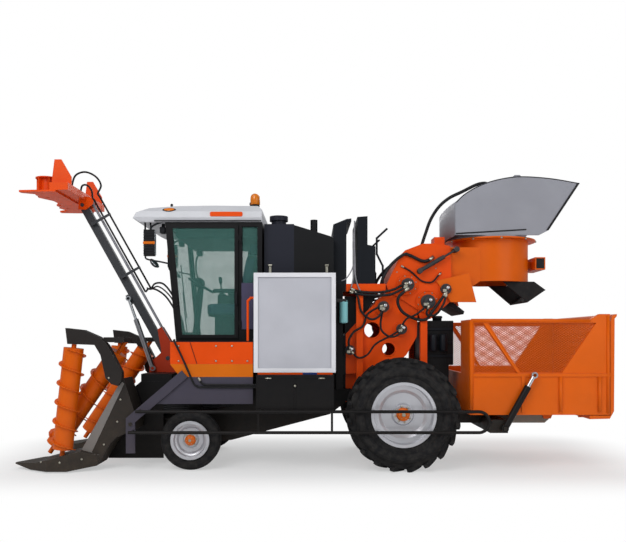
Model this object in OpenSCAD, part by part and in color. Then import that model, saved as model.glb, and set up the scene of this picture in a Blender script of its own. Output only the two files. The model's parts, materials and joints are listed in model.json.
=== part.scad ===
// Self-propelled sugarcane harvester, a whole machine at real size in millimetres.
// Forward is -X, the machine's left side is -Y, up is +Z, and the ground is z = 0.
// Profiles are drawn in the side plane as [x, z] and carried across the machine along Y.

/* [Rear wheels] */
// Radius of the rear tyre over the lug tips
rear_tyre_r = 715; // [690:5:735]
// Width of the rear tyre
rear_tyre_w = 380; // [320:5:400]
// Radius of the rear rim at its flange
rear_rim_r = 410; // [380:5:430]
// Place of the rear axle along the machine
rear_axle_x = 1137; // [1110:1:1150]
// Middle of each rear tyre from the centre plane
rear_half_track = 945; // [930:5:955]
// Chevron lugs on each half of a rear tyre
rear_lugs = 20; // [14:1:24]
// Height of a lug over the casing
lug_h = 34; // [24:2:44]
// Width of a lug
lug_w = 52; // [36:2:60]

/* [Front wheels] */
// Radius of the front tyre
front_tyre_r = 380; // [360:5:400]
// Width of the front tyre
front_tyre_w = 260; // [220:5:270]
// Radius of the front rim at its flange
front_rim_r = 247; // [240:1:255]
// Place of the front wheels along the machine
front_axle_x = -1561; // [-1590:1:-1530]
// Middle of each front tyre from the centre plane
front_half_track = 870; // [865:5:880]
// Kingpin from the centre plane
kingpin_y = 730; // [722:1:736]
// Radius of the kingpin
kingpin_r = 25; // [20:1:30]

/* [Frame] */
// Inner face of each frame rail from the centre plane
rail_y = 420; // [415:1:425]
// Width of a frame rail
rail_w = 100; // [90:2:110]
// Underside of the frame rails
rail_z = 840; // [830:5:845]
// Height of a frame rail
rail_h = 160; // [140:5:170]
// Front end of the frame rails
rail_front_x = -2000; // [-2020:5:-1980]
// Rear end of the frame rails
rail_rear_x = 1900; // [1860:5:1930]
// Radius of the guard rail tubes
guard_r = 20; // [14:1:24]
// Guard rail tubes from the centre plane
guard_y = 1175; // [1170:1:1190]
// Height of the upper guard rail
guard_top_z = 766; // [740:2:780]
// Height of the lower guard rail
guard_low_z = 507; // [480:2:530]

/* [Cab] */
// Half of the cab's width
cab_y = 800; // [760:5:810]
// Top of the deck under the cab
deck_z = 1640; // [1630:2:1650]
// Top of the cab's frame
cab_top_z = 3181; // [3100:5:3220]
// Back of the cab
cab_rear_x = -660; // [-680:2:-656]
// Foot of the windscreen
screen_foot_x = -1773; // [-1790:1:-1765]
// Head of the windscreen
screen_head_x = -1915; // [-1940:5:-1890]
// Thickness of the cab's posts and panels
cab_wall = 50; // [40:2:56]
// Thickness of the panes
pane_t = 6; // [4:1:8]
// Height of the cab's roof over its frame
roof_h = 233; // [180:1:260]
// Reach of the roof's front lip
roof_front_x = -2329; // [-2400:5:-2250]

/* [Engine bay] */
// Half of the engine bay's width
bay_y = 950; // [900:5:955]
// Underside of the engine bay
bay_z = 1230; // [1226:2:1240]
// Top of the engine bay
bay_top_z = 2500; // [2440:5:2540]
// Front of the engine bay
bay_front_x = -640; // [-652:2:-620]
// Back of the engine bay
bay_rear_x = 270; // [250:2:280]
// Thickness of the bay's sheet walls
bay_wall = 20; // [12:1:26]
// Thickness of the side screens
screen_t = 60; // [40:2:80]

/* [Cane path] */
// Inner face of the throat walls from the centre plane
throat_y = 480; // [470:2:490]
// Thickness of the throat walls
throat_wall = 20; // [14:1:20]
// Half of the lower roller duct's width
duct_y = 400; // [360:5:405]
// Half of the upper roller housing's width
housing_y = 490; // [470:2:494]
// Half of the chopper box's width
chopper_y = 520; // [510:2:540]
// Sheet thickness of the duct and housings
duct_wall = 12; // [8:1:16]
// Radius of the base cutter discs
cutter_r = 225; // [200:5:228]
// Centre of each base cutter from the centre plane
cutter_y = 235; // [232:1:240]

/* [Extractor] */
// Place of the extractor's axis along the machine
extractor_x = 2492; // [2485:1:2500]
// Outside radius of the extractor chamber
chamber_r = 515; // [500:5:530]
// Underside of the chamber
chamber_z = 2443; // [2430:1:2460]
// Top flange of the chamber, on which the hood turns
chamber_top_z = 3030; // [2990:5:3050]
// Wall of the chamber
chamber_wall = 12; // [8:1:16]
// Half of the hood's width
hood_y = 570; // [550:5:590]
// Sheet thickness of the hood
hood_wall = 14; // [8:1:18]

/* [Basket] */
// Half of the basket's width
basket_y = 1050; // [1000:5:1060]
// Underside of the basket
basket_z = 712; // [708:1:720]
// Top rail of the basket
basket_top_z = 1912; // [1850:2:1930]
// Front of the basket
basket_front_x = 1973; // [1960:1:1990]
// Back of the basket's side walls
basket_rear_x = 3735; // [3720:1:3738]
// Thickness of the basket's posts and walls
basket_wall = 50; // [36:2:56]
// Tipping hinge along the machine
tip_x = 3117; // [3110:1:3125]
// Height of the tipping hinge
tip_z = 649; // [640:1:655]

/* [Dividers] */
// Lifting hinge of the crop dividers along the machine
divider_x = -2302; // [-2306:1:-2298]
// Height of the dividers' lifting hinge
divider_z = 592; // [585:1:600]
// Front tip of the divider shoes
shoe_tip_x = -3823; // [-3840:1:-3800]
// Radius of a scroll's tube
scroll_r = 122; // [110:1:126]
// Radius over a scroll's flight
flight_r = 162; // [150:1:164]
// Rise of a scroll's flight in one turn
flight_pitch = 240; // [200:5:280]
// Thickness of a scroll's flight
flight_t = 12; // [8:1:16]

/* [Topper] */
// Foot pivot of the topper arm along the machine
arm_foot_x = -2032; // [-2036:1:-2028]
// Height of the arm's foot pivot
arm_foot_z = 1398; // [1394:1:1402]
// Head pivot of the topper arm along the machine
arm_head_x = -3231; // [-3240:1:-3222]
// Height of the arm's head pivot
arm_head_z = 3543; // [3530:1:3550]
// Depth of the arm's box section
arm_depth = 110; // [90:2:116]
// Width of the arm's box section
arm_w = 90; // [80:2:96]
// Radius of a topper drum
drum_r = 150; // [130:2:160]

/* [Clearances] */
// Gap round a turning pin or shaft
pin_gap = 0.3; // [0.2:0.1:0.5]
// Gap between a pane and its frame
pane_gap = 0.4; // [0.2:0.1:0.8]

/* [Hidden] */
$fn = 48;

paint_orange = "#e4610f";
paint_amber = "#e07b0a";
paint_black = "#17161a";
paint_grey = "#8e8e98";
paint_pale = "#c9c9ce";
paint_violet = "#4a4656";
rubber = "#1c1b1d";
glass_tint = "#6fa79b80";
steel = "#9a9aa0";

// Points of an arc round c, from angle a0 to a1 in n steps
function arc(c, r, a0, a1, n) =
    [for (i = [0:n]) c + r * [cos(a0 + (a1 - a0) * i / n), sin(a0 + (a1 - a0) * i / n)]];
function reversed(list) = [for (i = [len(list) - 1:-1:0]) list[i]];
function shifted(list, by) = [for (p = list) p + by];
function between(a, b, t) = a + (b - a) * t;
// Closed outline of a sheet that follows a line of points and is t thick along Z
function strip(line, t) = concat(line, reversed(shifted(line, [0, t])));

module both_sides() {
    children();
    mirror([0, 1, 0]) children();
}

// A side-plane outline carried across from y_low to y_high
module plate(outline, y_low, y_high, holes = []) {
    n = len(outline);
    translate([0, y_high, 0])
        rotate([90, 0, 0])
            linear_extrude(y_high - y_low)
                polygon(concat(outline, [for (hole = holes, p = hole) p]),
                        concat([[for (i = [0:n - 1]) i]],
                               [for (i = [0:1:len(holes) - 1]) [for (k = [0:3]) n + 4 * i + k]]));
}

// A round shaft along Y
module shaft(at, r, y_low, y_high) {
    translate([at.x, y_low, at.y])
        rotate([-90, 0, 0])
            cylinder(h = y_high - y_low, r = r);
}

// A box between two corners
module block(low, high) {
    translate(low) cube(high - low);
}

// A round bar between two points
module bar(from, to, r) {
    v = to - from;
    length = norm(v);
    translate(from)
        rotate([0, acos(v.z / length), atan2(v.y, v.x)])
            cylinder(h = length, r = r);
}

// A wheel's own frame, its axis on Z and outwards up, put on the left side of an axle
module on_left_hub(x, y, z) {
    translate([x, -y, z]) rotate([90, 0, 0]) children();
}

// Frame, front legs and deck
rail_out_y = rail_y + rail_w;
rail_top_z = rail_z + rail_h;
leg_half = 80;
leg_out_y = rail_out_y + 120;
fork_reach = 45;
fork_t = 60;
fork_gap = 200;
front_z = front_tyre_r;
rear_z = rear_tyre_r;
beam_w = 120;
box_y = 750;
cross_beam_x = [-1700, -1200, -650];
outrigger_x = 200;
deck_t = 40;
deck_y = 980;
deck_front_x = -1800;
deck_rear_x = -760;
deck_post_x = [-1700, -850];
front_beam_x = [-2300, -2000];
front_beam_z = [1100, 1200];
pipe_post_x = [352, 620, 1472];
pipe_post_w = 90;
pipe_post_out_y = 570;
tower_beam_z = [2300, 2400];
tower_beam_x = [307, 965];
tank_seat_x = [1560, 1820];
tank_z = 1319;
chopper_foot_z = 1934;
// Welded seam between the beams, and between the plates of the housings
seam = 0.5;

module front_leg() {
    difference() {
        union() {
            block([front_axle_x - leg_half, rail_out_y, front_z - fork_gap / 2 - fork_t],
                  [front_axle_x + leg_half, leg_out_y, rail_top_z]);
            for (low = [front_z - fork_gap / 2 - fork_t, front_z + fork_gap / 2])
                block([front_axle_x - fork_reach, leg_out_y - 1, low],
                      [front_axle_x + fork_reach, kingpin_y + fork_reach, low + fork_t]);
        }
        translate([front_axle_x, kingpin_y, 0])
            cylinder(h = rail_z, r = kingpin_r + pin_gap);
    }
}

module chassis_frame() {
    on_rail_z = rail_top_z + seam;
    color(paint_black) {
        both_sides() {
            block([rail_front_x, rail_y, rail_z], [rail_rear_x, rail_out_y, rail_top_z]);
            front_leg();
            block([outrigger_x - beam_w / 2, rail_y, on_rail_z], [outrigger_x + beam_w / 2, box_y, bay_z]);
            for (x = deck_post_x)
                block([x - beam_w / 2, rail_y, x == cross_beam_x[0] ? bay_z + seam : on_rail_z],
                      [x + beam_w / 2, rail_out_y, deck_z - deck_t - seam]);
            block([tank_seat_x[0], rail_y, on_rail_z], [tank_seat_x[1], throat_y, tank_z]);
        }
        for (x = cross_beam_x)
            block([x - beam_w / 2, -box_y, on_rail_z], [x + beam_w / 2, box_y, bay_z]);
        block([deck_front_x, -deck_y, deck_z - deck_t], [deck_rear_x, deck_y, deck_z]);
        block([front_beam_x[0], -throat_y - throat_wall, front_beam_z[0]],
              [front_beam_x[1], throat_y + throat_wall, front_beam_z[1]]);
        block([front_beam_x[1] + seam, -rail_out_y, on_rail_z],
              [front_beam_x[1] + beam_w, rail_out_y, front_beam_z[1]]);
    }
}

// Rear axle: one housing under the rails with a hub flange at each end
axle_r = 110;
axle_end_y = 700;
hub_flange_r = 150;
hub_flange_y = 756;
hub_pin_r = 60;
hub_end_y = rear_half_track + 20;
axle_pad = 130;

module rear_axle() {
    at = [rear_axle_x, rear_z];
    color(paint_black) {
        shaft(at, axle_r, -axle_end_y, axle_end_y);
        translate([rear_axle_x, 0, rear_z]) rotate([90, 0, 0]) sphere(r = axle_r * 1.6);
        both_sides() {
            shaft(at, hub_flange_r, axle_end_y - 60, hub_flange_y);
            shaft(at, hub_pin_r, hub_flange_y - 1, hub_end_y);
            block([rear_axle_x - axle_pad, rail_y, rear_z], [rear_axle_x + axle_pad, rail_out_y, rail_z]);
        }
    }
}

// Guard rails along both sides
guard_front_x = -2290;
guard_upper_front_x = -2200;
guard_bend_r = (guard_top_z - guard_low_z) / 2;
guard_rear_x = 2056;
guard_post_x = [-680, 235];
stub_r = 14;
box_out_y = 1100;
box_z = 755;
bracket_y = 1000;
bracket_t = 30;
rear_cross_x = [2225, 2450];
rear_cross_z = [486, 650];
rear_cross_y = 1060;

module guard_rails() {
    color(paint_black) both_sides() {
        bar([guard_front_x, guard_y, guard_low_z], [guard_rear_x, guard_y, guard_low_z], guard_r);
        bar([guard_upper_front_x, guard_y, guard_top_z], [guard_rear_x, guard_y, guard_top_z], guard_r);
        translate([guard_rear_x, guard_y, guard_low_z + guard_bend_r])
            rotate([90, 0, 0])
                rotate([0, 0, -90])
                    rotate_extrude(angle = 180)
                        translate([guard_bend_r, 0]) circle(r = guard_r);
        for (x = guard_post_x) {
            bar([x, guard_y, guard_low_z], [x, guard_y, guard_top_z], stub_r);
            block([x - 30, box_out_y, box_z + 5], [x + 30, guard_y, box_z + 35]);
        }
        bar([divider_x + 40, bracket_y + bracket_t, guard_low_z],
            [divider_x + 40, guard_y, guard_low_z], stub_r);
        bar([guard_upper_front_x + 20, bracket_y + bracket_t, guard_top_z],
            [guard_upper_front_x + 20, guard_y, guard_top_z], stub_r);
        block([guard_rear_x + guard_bend_r - 6, rear_cross_y - 25, guard_low_z + guard_bend_r - 20],
              [rear_cross_x[0], guard_y, guard_low_z + guard_bend_r + 20]);
    }
}

// Throat between the dividers: two walls, and the gearbox of the base cutters across them
cutter_x = -2250;
cutter_z = 95;
cutter_pin_r = 30;
gearbox_x = [-2340, -2160];
gearbox_z = [520, 660];
gearbox_bore = 90;
roller_at = [-2630, 680];
roller_pin_r = 25;
divider_pin_r = 25;
throat_outline = [
    [-2735, 75], [rail_front_x, 75], [rail_front_x, front_beam_z[0]], [front_beam_x[0], front_beam_z[0]],
    [-2600, 860], [-2735, 760]];

module throat() {
    color(paint_black) {
        both_sides() difference() {
            plate(throat_outline, throat_y, throat_y + throat_wall);
            shaft(roller_at, roller_pin_r + pin_gap, throat_y - 1, throat_y + throat_wall + 1);
            shaft([divider_x, divider_z], divider_pin_r + pin_gap, throat_y - 1, throat_y + throat_wall + 1);
        }
        difference() {
            block([gearbox_x[0], -throat_y, gearbox_z[0]], [gearbox_x[1], throat_y, gearbox_z[1]]);
            for (y = [-cutter_y, cutter_y])
                translate([cutter_x, y, gearbox_z[0] - 1])
                    cylinder(h = gearbox_bore, r = cutter_pin_r + pin_gap);
        }
    }
}

// Roller duct under the machine and the wider roller housing that rises behind the engine bay
duct_floor = [[-2150, 180], [-1097, 302], [227, 650], [1000, 1230]];
duct_roof = [[-2150, 560], [-1097, 760], [285, 1180], [314, 1199]];
chopper_chin = [1400, 2055];
chopper_nose = [1003, 2309];
housing_floor = [[1000, 1230], [1250, 1453], [1391, 1700], chopper_chin];
housing_roof = [[300, 1190], [300, 1640], [428, 1720], [696, 2015], chopper_nose];
boss_table = [
    // x, z, radius
    [937, 2095, 120],
    [495, 1519, 95],
    [1180, 1800, 100]];
port_table = [
    // x, z, radius
    [790, 1787, 105],
    [1010, 1530, 85]];
boss_t = 22;

module feed_housing() {
    duct_in_y = duct_y - duct_wall;
    housing_in_y = housing_y - duct_wall;
    housing_bed = [for (i = [0 : len(housing_floor) - 2]) housing_floor[i]];
    chin_part = 1.3 * duct_wall / norm(chopper_nose - chopper_chin);
    chin_end = [between(chopper_chin, chopper_nose, chin_part) - [0, seam]];
    color(paint_orange) {
        both_sides() {
            plate(concat(duct_floor, reversed(duct_roof)), duct_in_y, duct_y);
            difference() {
                union() {
                    plate(concat(housing_floor, reversed(housing_roof)), housing_in_y, housing_y);
                    for (b = boss_table)
                        shaft([b[0], b[1]], b[2], housing_y - duct_wall / 2, housing_y + boss_t);
                }
                for (p = port_table)
                    shaft([p[0], p[1]], p[2], housing_y - 2 * duct_wall, housing_y + boss_t);
            }
            for (x = pipe_post_x)
                block([x - pipe_post_w / 2, housing_y - 1, rail_top_z],
                      [x + pipe_post_w / 2, pipe_post_out_y, x < rear_axle_x ? tower_beam_z[0] : chopper_foot_z]);
            block([tower_beam_x[0], housing_y - 1, tower_beam_z[0]],
                  [tower_beam_x[1], pipe_post_out_y, tower_beam_z[1]]);
        }
        plate(strip(duct_floor, duct_wall), seam - duct_in_y, duct_in_y - seam);
        plate(strip(duct_roof, -duct_wall), seam - duct_in_y, duct_in_y - seam);
        plate(concat(housing_roof, reversed(shifted(housing_roof, [duct_wall, -duct_wall]))),
              seam - housing_in_y, housing_in_y - seam);
        plate(concat(housing_floor, chin_end, reversed(shifted(housing_bed, [-duct_wall, duct_wall]))),
              seam - housing_in_y, housing_in_y - seam);
    }
}

// Chopper box over the roller housing
chopper_outline = [
    [977, 2389], [1164, 2777], [1231, 2851], [1458, 2938], [1632, 2943], [1833, 2911], [1860, 2188],
    [1565, chopper_foot_z], [1432, chopper_foot_z], chopper_chin, chopper_nose];
chopper_rear_top = [1833, 2911];
chopper_rear_foot = [1860, 2188];
valve_box = [[1640, 150, 2920], [1780, 400, 3045]];
chopper_boss_table = [
    // x, z, radius
    [1258, 2389, 140],
    [1525, 2162, 150],
    [1766, 2330, 84]];

// Point a seam behind the chopper's sloping rear edge, at a height
function on_chopper_rear(z) = [seam, 0] + between(chopper_rear_foot, chopper_rear_top,
    (z - chopper_rear_foot.y) / (chopper_rear_top.y - chopper_rear_foot.y));

module chopper_box() {
    color(paint_orange) {
        plate(chopper_outline, -chopper_y, chopper_y);
        mirror([0, 1, 0]) block(valve_box[0], valve_box[1]);
        both_sides() for (b = chopper_boss_table)
            shaft([b[0], b[1]], b[2], chopper_y - 1, chopper_y + boss_t);
    }
}

// Hydraulic motors on the sides of the housings
motor_table = [
    // x, z, radius, inner face, length
    [1258, 2389, 85, chopper_y + boss_t, 98],
    [1525, 2162, 95, chopper_y + boss_t, 108],
    [1766, 2330, 70, chopper_y + boss_t, 68],
    [937, 2095, 75, housing_y + boss_t, 110],
    [495, 1519, 65, housing_y + boss_t, 100],
    [1180, 1800, 70, housing_y + boss_t, 100]];
motor_cap = 0.62;
hood_ram = [[1420, 2571], [1905, 2856]];
hood_ram_neck = between(hood_ram[0], hood_ram[1], 0.66);
hood_ram_y = 575;
hood_ram_r = 28;

module hydraulic_motors() {
    color(paint_black) both_sides() for (m = motor_table) {
        at = [m[0], m[1]];
        shaft(at, m[2], m[3], m[3] + m[4] * motor_cap);
        shaft(at, m[2] * motor_cap, m[3] + m[4] * motor_cap - 1, m[3] + m[4]);
    }
    color(paint_black) mirror([0, 1, 0]) {
        for (i = [0, 1])
            shaft(hood_ram[i], hood_ram_r + 8, i == 0 ? chopper_y : passage_y, hood_ram_y + hood_ram_r + 6);
        bar([hood_ram[0].x, hood_ram_y, hood_ram[0].y],
            [hood_ram_neck.x, hood_ram_y, hood_ram_neck.y], hood_ram_r);
        bar([hood_ram_neck.x, hood_ram_y, hood_ram_neck.y],
            [hood_ram[1].x, hood_ram_y, hood_ram[1].y], hood_ram_r / 2);
    }
}

// Extractor chamber: a drum, its flange, the passage from the chopper and the fan's spider
flange_r = 614;
flange_t = 20;
passage_y = 450;
passage_z = [2450, 2900];
passage_end_x = 2260;
spider_z = [2920, 2955];
spider_hub_r = 75;
spider_arm_w = 60;
fan_shaft_r = 40;
lamp_x = [3050, 3190];
lamp_y = 260;
lamp_arm_y = 60;
lamp_z = [2620, 2790];

module extractor_chamber() {
    top_edge = on_chopper_rear(passage_z[1]);
    low_edge = on_chopper_rear(passage_z[0]);
    cheek = [on_chopper_rear(chopper_rear_foot.y), top_edge, [passage_end_x, passage_z[1]],
             [passage_end_x, passage_z[0]]];
    color(paint_orange) {
        difference() {
            union() {
                translate([extractor_x, 0, chamber_z])
                    cylinder(h = chamber_top_z - chamber_z, r = chamber_r);
                translate([extractor_x, 0, chamber_top_z - flange_t])
                    cylinder(h = flange_t, r = flange_r);
                both_sides() plate(cheek, passage_y - chamber_wall, passage_y);
                block([extractor_x, -lamp_arm_y, lamp_z[0] + 30], [lamp_x[0] + 1, lamp_arm_y, lamp_z[1] - 40]);
                block([lamp_x[0], -lamp_y, lamp_z[0]], [lamp_x[1], lamp_y, lamp_z[1]]);
                plate([top_edge, on_chopper_rear(passage_z[1] - chamber_wall),
                       [passage_end_x, passage_z[1] - chamber_wall],
                       [passage_end_x, passage_z[1]]], -passage_y, passage_y);
                plate([low_edge, on_chopper_rear(passage_z[0] + chamber_wall),
                       [passage_end_x, passage_z[0] + chamber_wall],
                       [passage_end_x, passage_z[0]]], -passage_y, passage_y);
            }
            translate([extractor_x, 0, chamber_z - 1])
                cylinder(h = chamber_top_z - chamber_z + 2, r = chamber_r - chamber_wall);
            block([passage_end_x - 300, chamber_wall - passage_y, passage_z[0] + chamber_wall],
                  [extractor_x, passage_y - chamber_wall, passage_z[1] - chamber_wall]);
        }
        difference() {
            union() {
                translate([extractor_x, 0, spider_z[0] - 60])
                    cylinder(h = spider_z[1] - spider_z[0] + 60, r = spider_hub_r);
                for (a = [30, 150, 270])
                    translate([extractor_x, 0, spider_z[0]])
                        rotate([0, 0, a])
                            translate([0, -spider_arm_w / 2, 0])
                                cube([chamber_r - chamber_wall / 2, spider_arm_w, spider_z[1] - spider_z[0]]);
            }
            translate([extractor_x, 0, spider_z[0] - 40])
                cylinder(h = chamber_top_z - spider_z[0], r = fan_shaft_r + pin_gap);
        }
    }
}

// Black flaps under the chopper and under the rear of the chamber
flap_y = 400;
flap_t = 14;
front_flap = [[1800, 2136.3], chopper_rear_foot, [2047, 2040], [2036, 2001]];
rear_cheek = [[2568, chamber_z], [2990, chamber_z], [3147, 2330], [2900, 2160]];

module deflector_flaps() {
    color(paint_black) {
        plate(front_flap, -flap_y, flap_y);
        both_sides() plate(rear_cheek, flap_y - flap_t, flap_y);
        plate([rear_cheek[2], rear_cheek[3], rear_cheek[3] + [-14, 18], rear_cheek[2] + [-24, 10]],
              -flap_y, flap_y);
    }
}

// Tool boxes under the engine bay and the black tank under the chopper
box_x = [-713, 263];
box_top_z = 1217;
tank_x = [1496, 1883];
tank_top_z = 1912;
tank_y = 470;
lid_t = 8;

module side_boxes() {
    color(paint_black) {
        both_sides() {
            block([box_x[0], box_y, box_z], [box_x[1], box_out_y - lid_t, box_top_z]);
            for (end = [[box_x[0] + 20, -245], [-205, box_x[1] - 20]])
                block([end[0], box_out_y - lid_t - 1, box_z + 20], [end[1], box_out_y, box_top_z - 20]);
        }
        block([tank_x[0], -tank_y, tank_z], [tank_x[1], tank_y, tank_top_z]);
    }
}

// Engine bay: floor, ends and roof, open at the sides behind the screens
engine_low = [-560, -380, 0];
engine_high = [150, 380, 2100];

module engine_bay() {
    color(paint_black) difference() {
        block([bay_front_x, -bay_y, bay_z], [bay_rear_x, bay_y, bay_top_z]);
        block([bay_front_x + bay_wall, -bay_y - 1, bay_z + bay_wall],
              [bay_rear_x - bay_wall, bay_y + 1, bay_top_z - bay_wall]);
    }
}

screen_x = [-750, 288];
screen_z = [1243, 2505];
screen_rim = 55;
screen_recess = 16;

module engine_screens() {
    color(paint_pale) both_sides() difference() {
        block([screen_x[0], bay_y, screen_z[0]], [screen_x[1], bay_y + screen_t, screen_z[1]]);
        block([screen_x[0] + screen_rim, bay_y + screen_t - screen_recess, screen_z[0] + screen_rim],
              [screen_x[1] - screen_rim, bay_y + screen_t + 1, screen_z[1] - screen_rim]);
        block([screen_x[0] + screen_rim, bay_y - 1, screen_z[0] + screen_rim],
              [screen_x[1] - screen_rim, bay_y + screen_recess, screen_z[1] - screen_rim]);
    }
}

module engine_block() {
    color(steel)
        block([engine_low.x, engine_low.y, bay_z + bay_wall], engine_high);
}

// Hood over the engine bay with the air cleaner's cap and the exhaust stub
hood_split_x = -249;
hood_top_z = 3172;
engine_hood_y = 700;
engine_hood_outline = [
    [bay_front_x, bay_top_z], [bay_front_x, hood_top_z], [hood_split_x, hood_top_z],
    [hood_split_x, hood_top_z - 12],
    [223, 3015], [bay_rear_x, 2985], [bay_rear_x, bay_top_z]];
cap_at = [-465, 330];
cap_r = 125;
cap_h = 160;
exhaust_at = [13, 420];
exhaust_r = 48;
exhaust_top_z = 3270;

module engine_hood() {
    color(paint_black) {
        plate(engine_hood_outline, -engine_hood_y, engine_hood_y);
        translate([cap_at.x, -cap_at.y, hood_top_z - 1]) {
            cylinder(h = cap_h * 0.6, r = cap_r * 0.8);
            translate([0, 0, cap_h * 0.6 - 1]) cylinder(h = cap_h * 0.4, r = cap_r);
        }
        difference() {
            translate([exhaust_at.x, -exhaust_at.y, 3000])
                cylinder(h = exhaust_top_z - 3000, r = exhaust_r);
            translate([exhaust_at.x, -exhaust_at.y, exhaust_top_z - 60])
                cylinder(h = 61, r = exhaust_r - 6);
        }
    }
}

// Cooler tower behind the hood, the narrow tower with the lifting eye, and its bent railing
tower_y = 560;
cooler_outline = [[bay_rear_x, 2400], [bay_rear_x, 3190], [445, 3262], [510, 3270], [510, 3230],
                  [445, 3215], [445, 2400]];
narrow_outline = [[590, 2400], [590, 3290], [725, 3300], [725, 2920], [830, 2900], [830, 2400]];
eye_at = [658, 3330];
eye_r = 16;
eye_t = 20;
rail_tube_r = 14;
railing_y = 530;
railing_line = [[930, 2400], [930, 2640], [850, 2800], [850, 3010], [990, 3140]];

module cooler_towers() {
    color(paint_black) {
        plate(cooler_outline, -tower_y, tower_y);
        plate(narrow_outline, -tower_y, tower_y);
        difference() {
            plate([[600, 3285], [635, eye_at.y + 30], [681, eye_at.y + 30], [716, 3285]], -eye_t / 2, eye_t / 2);
            shaft(eye_at, eye_r, -eye_t, eye_t);
        }
        both_sides() {
            for (i = [0:len(railing_line) - 2])
                bar([railing_line[i].x, railing_y, railing_line[i].y],
                    [railing_line[i + 1].x, railing_y, railing_line[i + 1].y], rail_tube_r);
            for (i = [1:len(railing_line) - 2])
                translate([railing_line[i].x, railing_y, railing_line[i].y]) sphere(r = rail_tube_r + 2);
        }
    }
}

// Cab: a hollow frame with cut windows, closed by the roof
cab_floor_t = 20;
function screen_x_at(z) =
    screen_foot_x + (screen_head_x - screen_foot_x) * (z - deck_z) / (cab_top_z - deck_z);
// Outline of a side opening behind the windscreen post, grown by m
function side_opening(m) = [
    [screen_x_at(side_low_z - m) + 70 - m, side_low_z - m],
    [screen_x_at(side_top_z + m) + 70 - m, side_top_z + m],
    [side_rear_x + m, side_top_z + m],
    [side_rear_x + m, side_low_z - m]];
side_low_z = 1700;
side_top_z = 3120;
side_rear_x = -990;
quarter_x = [-915, -720];
quarter_z = [1800, 3120];
wind_y = 730;
wind_z = [1760, 3120];
hinge_x = -935;
hinge_out = 16;
hinge_z = [1850, 2950];
hinge_pin_r = 7;
knuckle_r = 13;
knuckle_h = 80;

module cab_shell() {
    outer = [[screen_foot_x, deck_z], [screen_head_x, cab_top_z], [cab_rear_x, cab_top_z], [cab_rear_x, deck_z]];
    inner_low = deck_z + cab_floor_t;
    inner = [[screen_x_at(inner_low) + cab_wall, inner_low], [screen_head_x + cab_wall, cab_top_z + 1],
             [cab_rear_x - cab_wall, cab_top_z + 1], [cab_rear_x - cab_wall, inner_low]];
    color(paint_black) {
        difference() {
            plate(outer, -cab_y, cab_y);
            plate(inner, cab_wall - cab_y, cab_y - cab_wall);
            plate(side_opening(0), -cab_y - 1, cab_y + 1);
            block([quarter_x[0], -cab_y - 1, quarter_z[0]], [quarter_x[1], cab_y + 1, quarter_z[1]]);
            block([roof_front_x, -wind_y, wind_z[0]], [screen_foot_x + cab_wall, wind_y, wind_z[1]]);
        }
        for (z = hinge_z) {
            block([hinge_x - knuckle_r, -cab_y - hinge_out - knuckle_r, z - 40],
                  [hinge_x + knuckle_r, -cab_y + 1, z - 10]);
            translate([hinge_x, -cab_y - hinge_out, z - 20])
                cylinder(h = knuckle_h, r = hinge_pin_r);
        }
    }
}

roof_y = 820;
roof_edge = 60;
roof_drop = 6;
roof_side_outline = [
    [roof_front_x + 90, 0], [roof_front_x, 45], [roof_front_x + 40, 120], [roof_front_x + 200, 190],
    [-1750, roof_h - 8], [-1250, roof_h], [-950, roof_h - roof_drop], [-720, roof_h - roof_drop],
    [cab_rear_x, roof_h - 70], [cab_rear_x, 0]];
roof_end_outline = [
    [-roof_y + 20, 0], [roof_y - 20, 0], [roof_y, roof_edge], [roof_y - 15, roof_h * 0.6],
    [roof_y - 130, roof_h + 1], [130 - roof_y, roof_h + 1], [15 - roof_y, roof_h * 0.6], [-roof_y, roof_edge]];

module cab_roof() {
    color(paint_pale) translate([0, 0, cab_top_z]) intersection() {
        plate(roof_side_outline, -roof_y, roof_y);
        translate([roof_front_x - 1, 0, 0])
            rotate([90, 0, 90])
                linear_extrude(cab_rear_x - roof_front_x + 2)
                    polygon(roof_end_outline);
    }
}

module cab_glass() {
    glass_y = cab_y - cab_wall / 2;
    low = wind_z[0] + pane_gap;
    top = wind_z[1] - pane_gap;
    set_back = cab_wall / 2;
    color(glass_tint) {
        plate([[screen_x_at(low) + set_back, low], [screen_x_at(top) + set_back, top],
               [screen_x_at(top) + set_back + pane_t, top], [screen_x_at(low) + set_back + pane_t, low]],
              pane_gap - wind_y, wind_y - pane_gap);
        plate(side_opening(-pane_gap), glass_y, glass_y + pane_t);
        for (side = [-1, 1])
            translate([0, side * glass_y, 0])
                block([quarter_x[0] + pane_gap, -pane_t / 2, quarter_z[0] + pane_gap],
                      [quarter_x[1] - pane_gap, pane_t / 2, quarter_z[1] - pane_gap]);
    }
}

door_lap = 22;
door_gap = 5;
door_t = 24;
door_frame = 45;
handle_z = 2180;

module cab_door() {
    y_out = -cab_y - door_gap - door_t;
    color(paint_black) {
        difference() {
            plate(side_opening(door_lap), y_out, -cab_y - door_gap);
            plate(side_opening(door_lap - door_frame), y_out - 1, -cab_y - door_gap + 1);
        }
        for (z = hinge_z) difference() {
            union() {
                translate([hinge_x, -cab_y - hinge_out, z - 10 + pin_gap])
                    cylinder(h = knuckle_h - 20, r = knuckle_r);
                block([side_rear_x + door_lap - 5, -cab_y - hinge_out - 8, z - 10 + pin_gap],
                      [hinge_x, -cab_y - hinge_out + 8, z + knuckle_h - 30 + pin_gap]);
            }
            translate([hinge_x, -cab_y - hinge_out, z - 30])
                cylinder(h = knuckle_h + 30, r = hinge_pin_r + pin_gap);
        }
        translate([screen_x_at(handle_z) + 62, y_out - 30, handle_z - 80]) cube([20, 31, 160]);
    }
}

module cab_door_glass() {
    y_mid = -cab_y - door_gap - door_t / 2;
    color(glass_tint)
        plate(side_opening(door_lap - door_frame - pane_gap), y_mid - pane_t / 2, y_mid + pane_t / 2);
}

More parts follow.
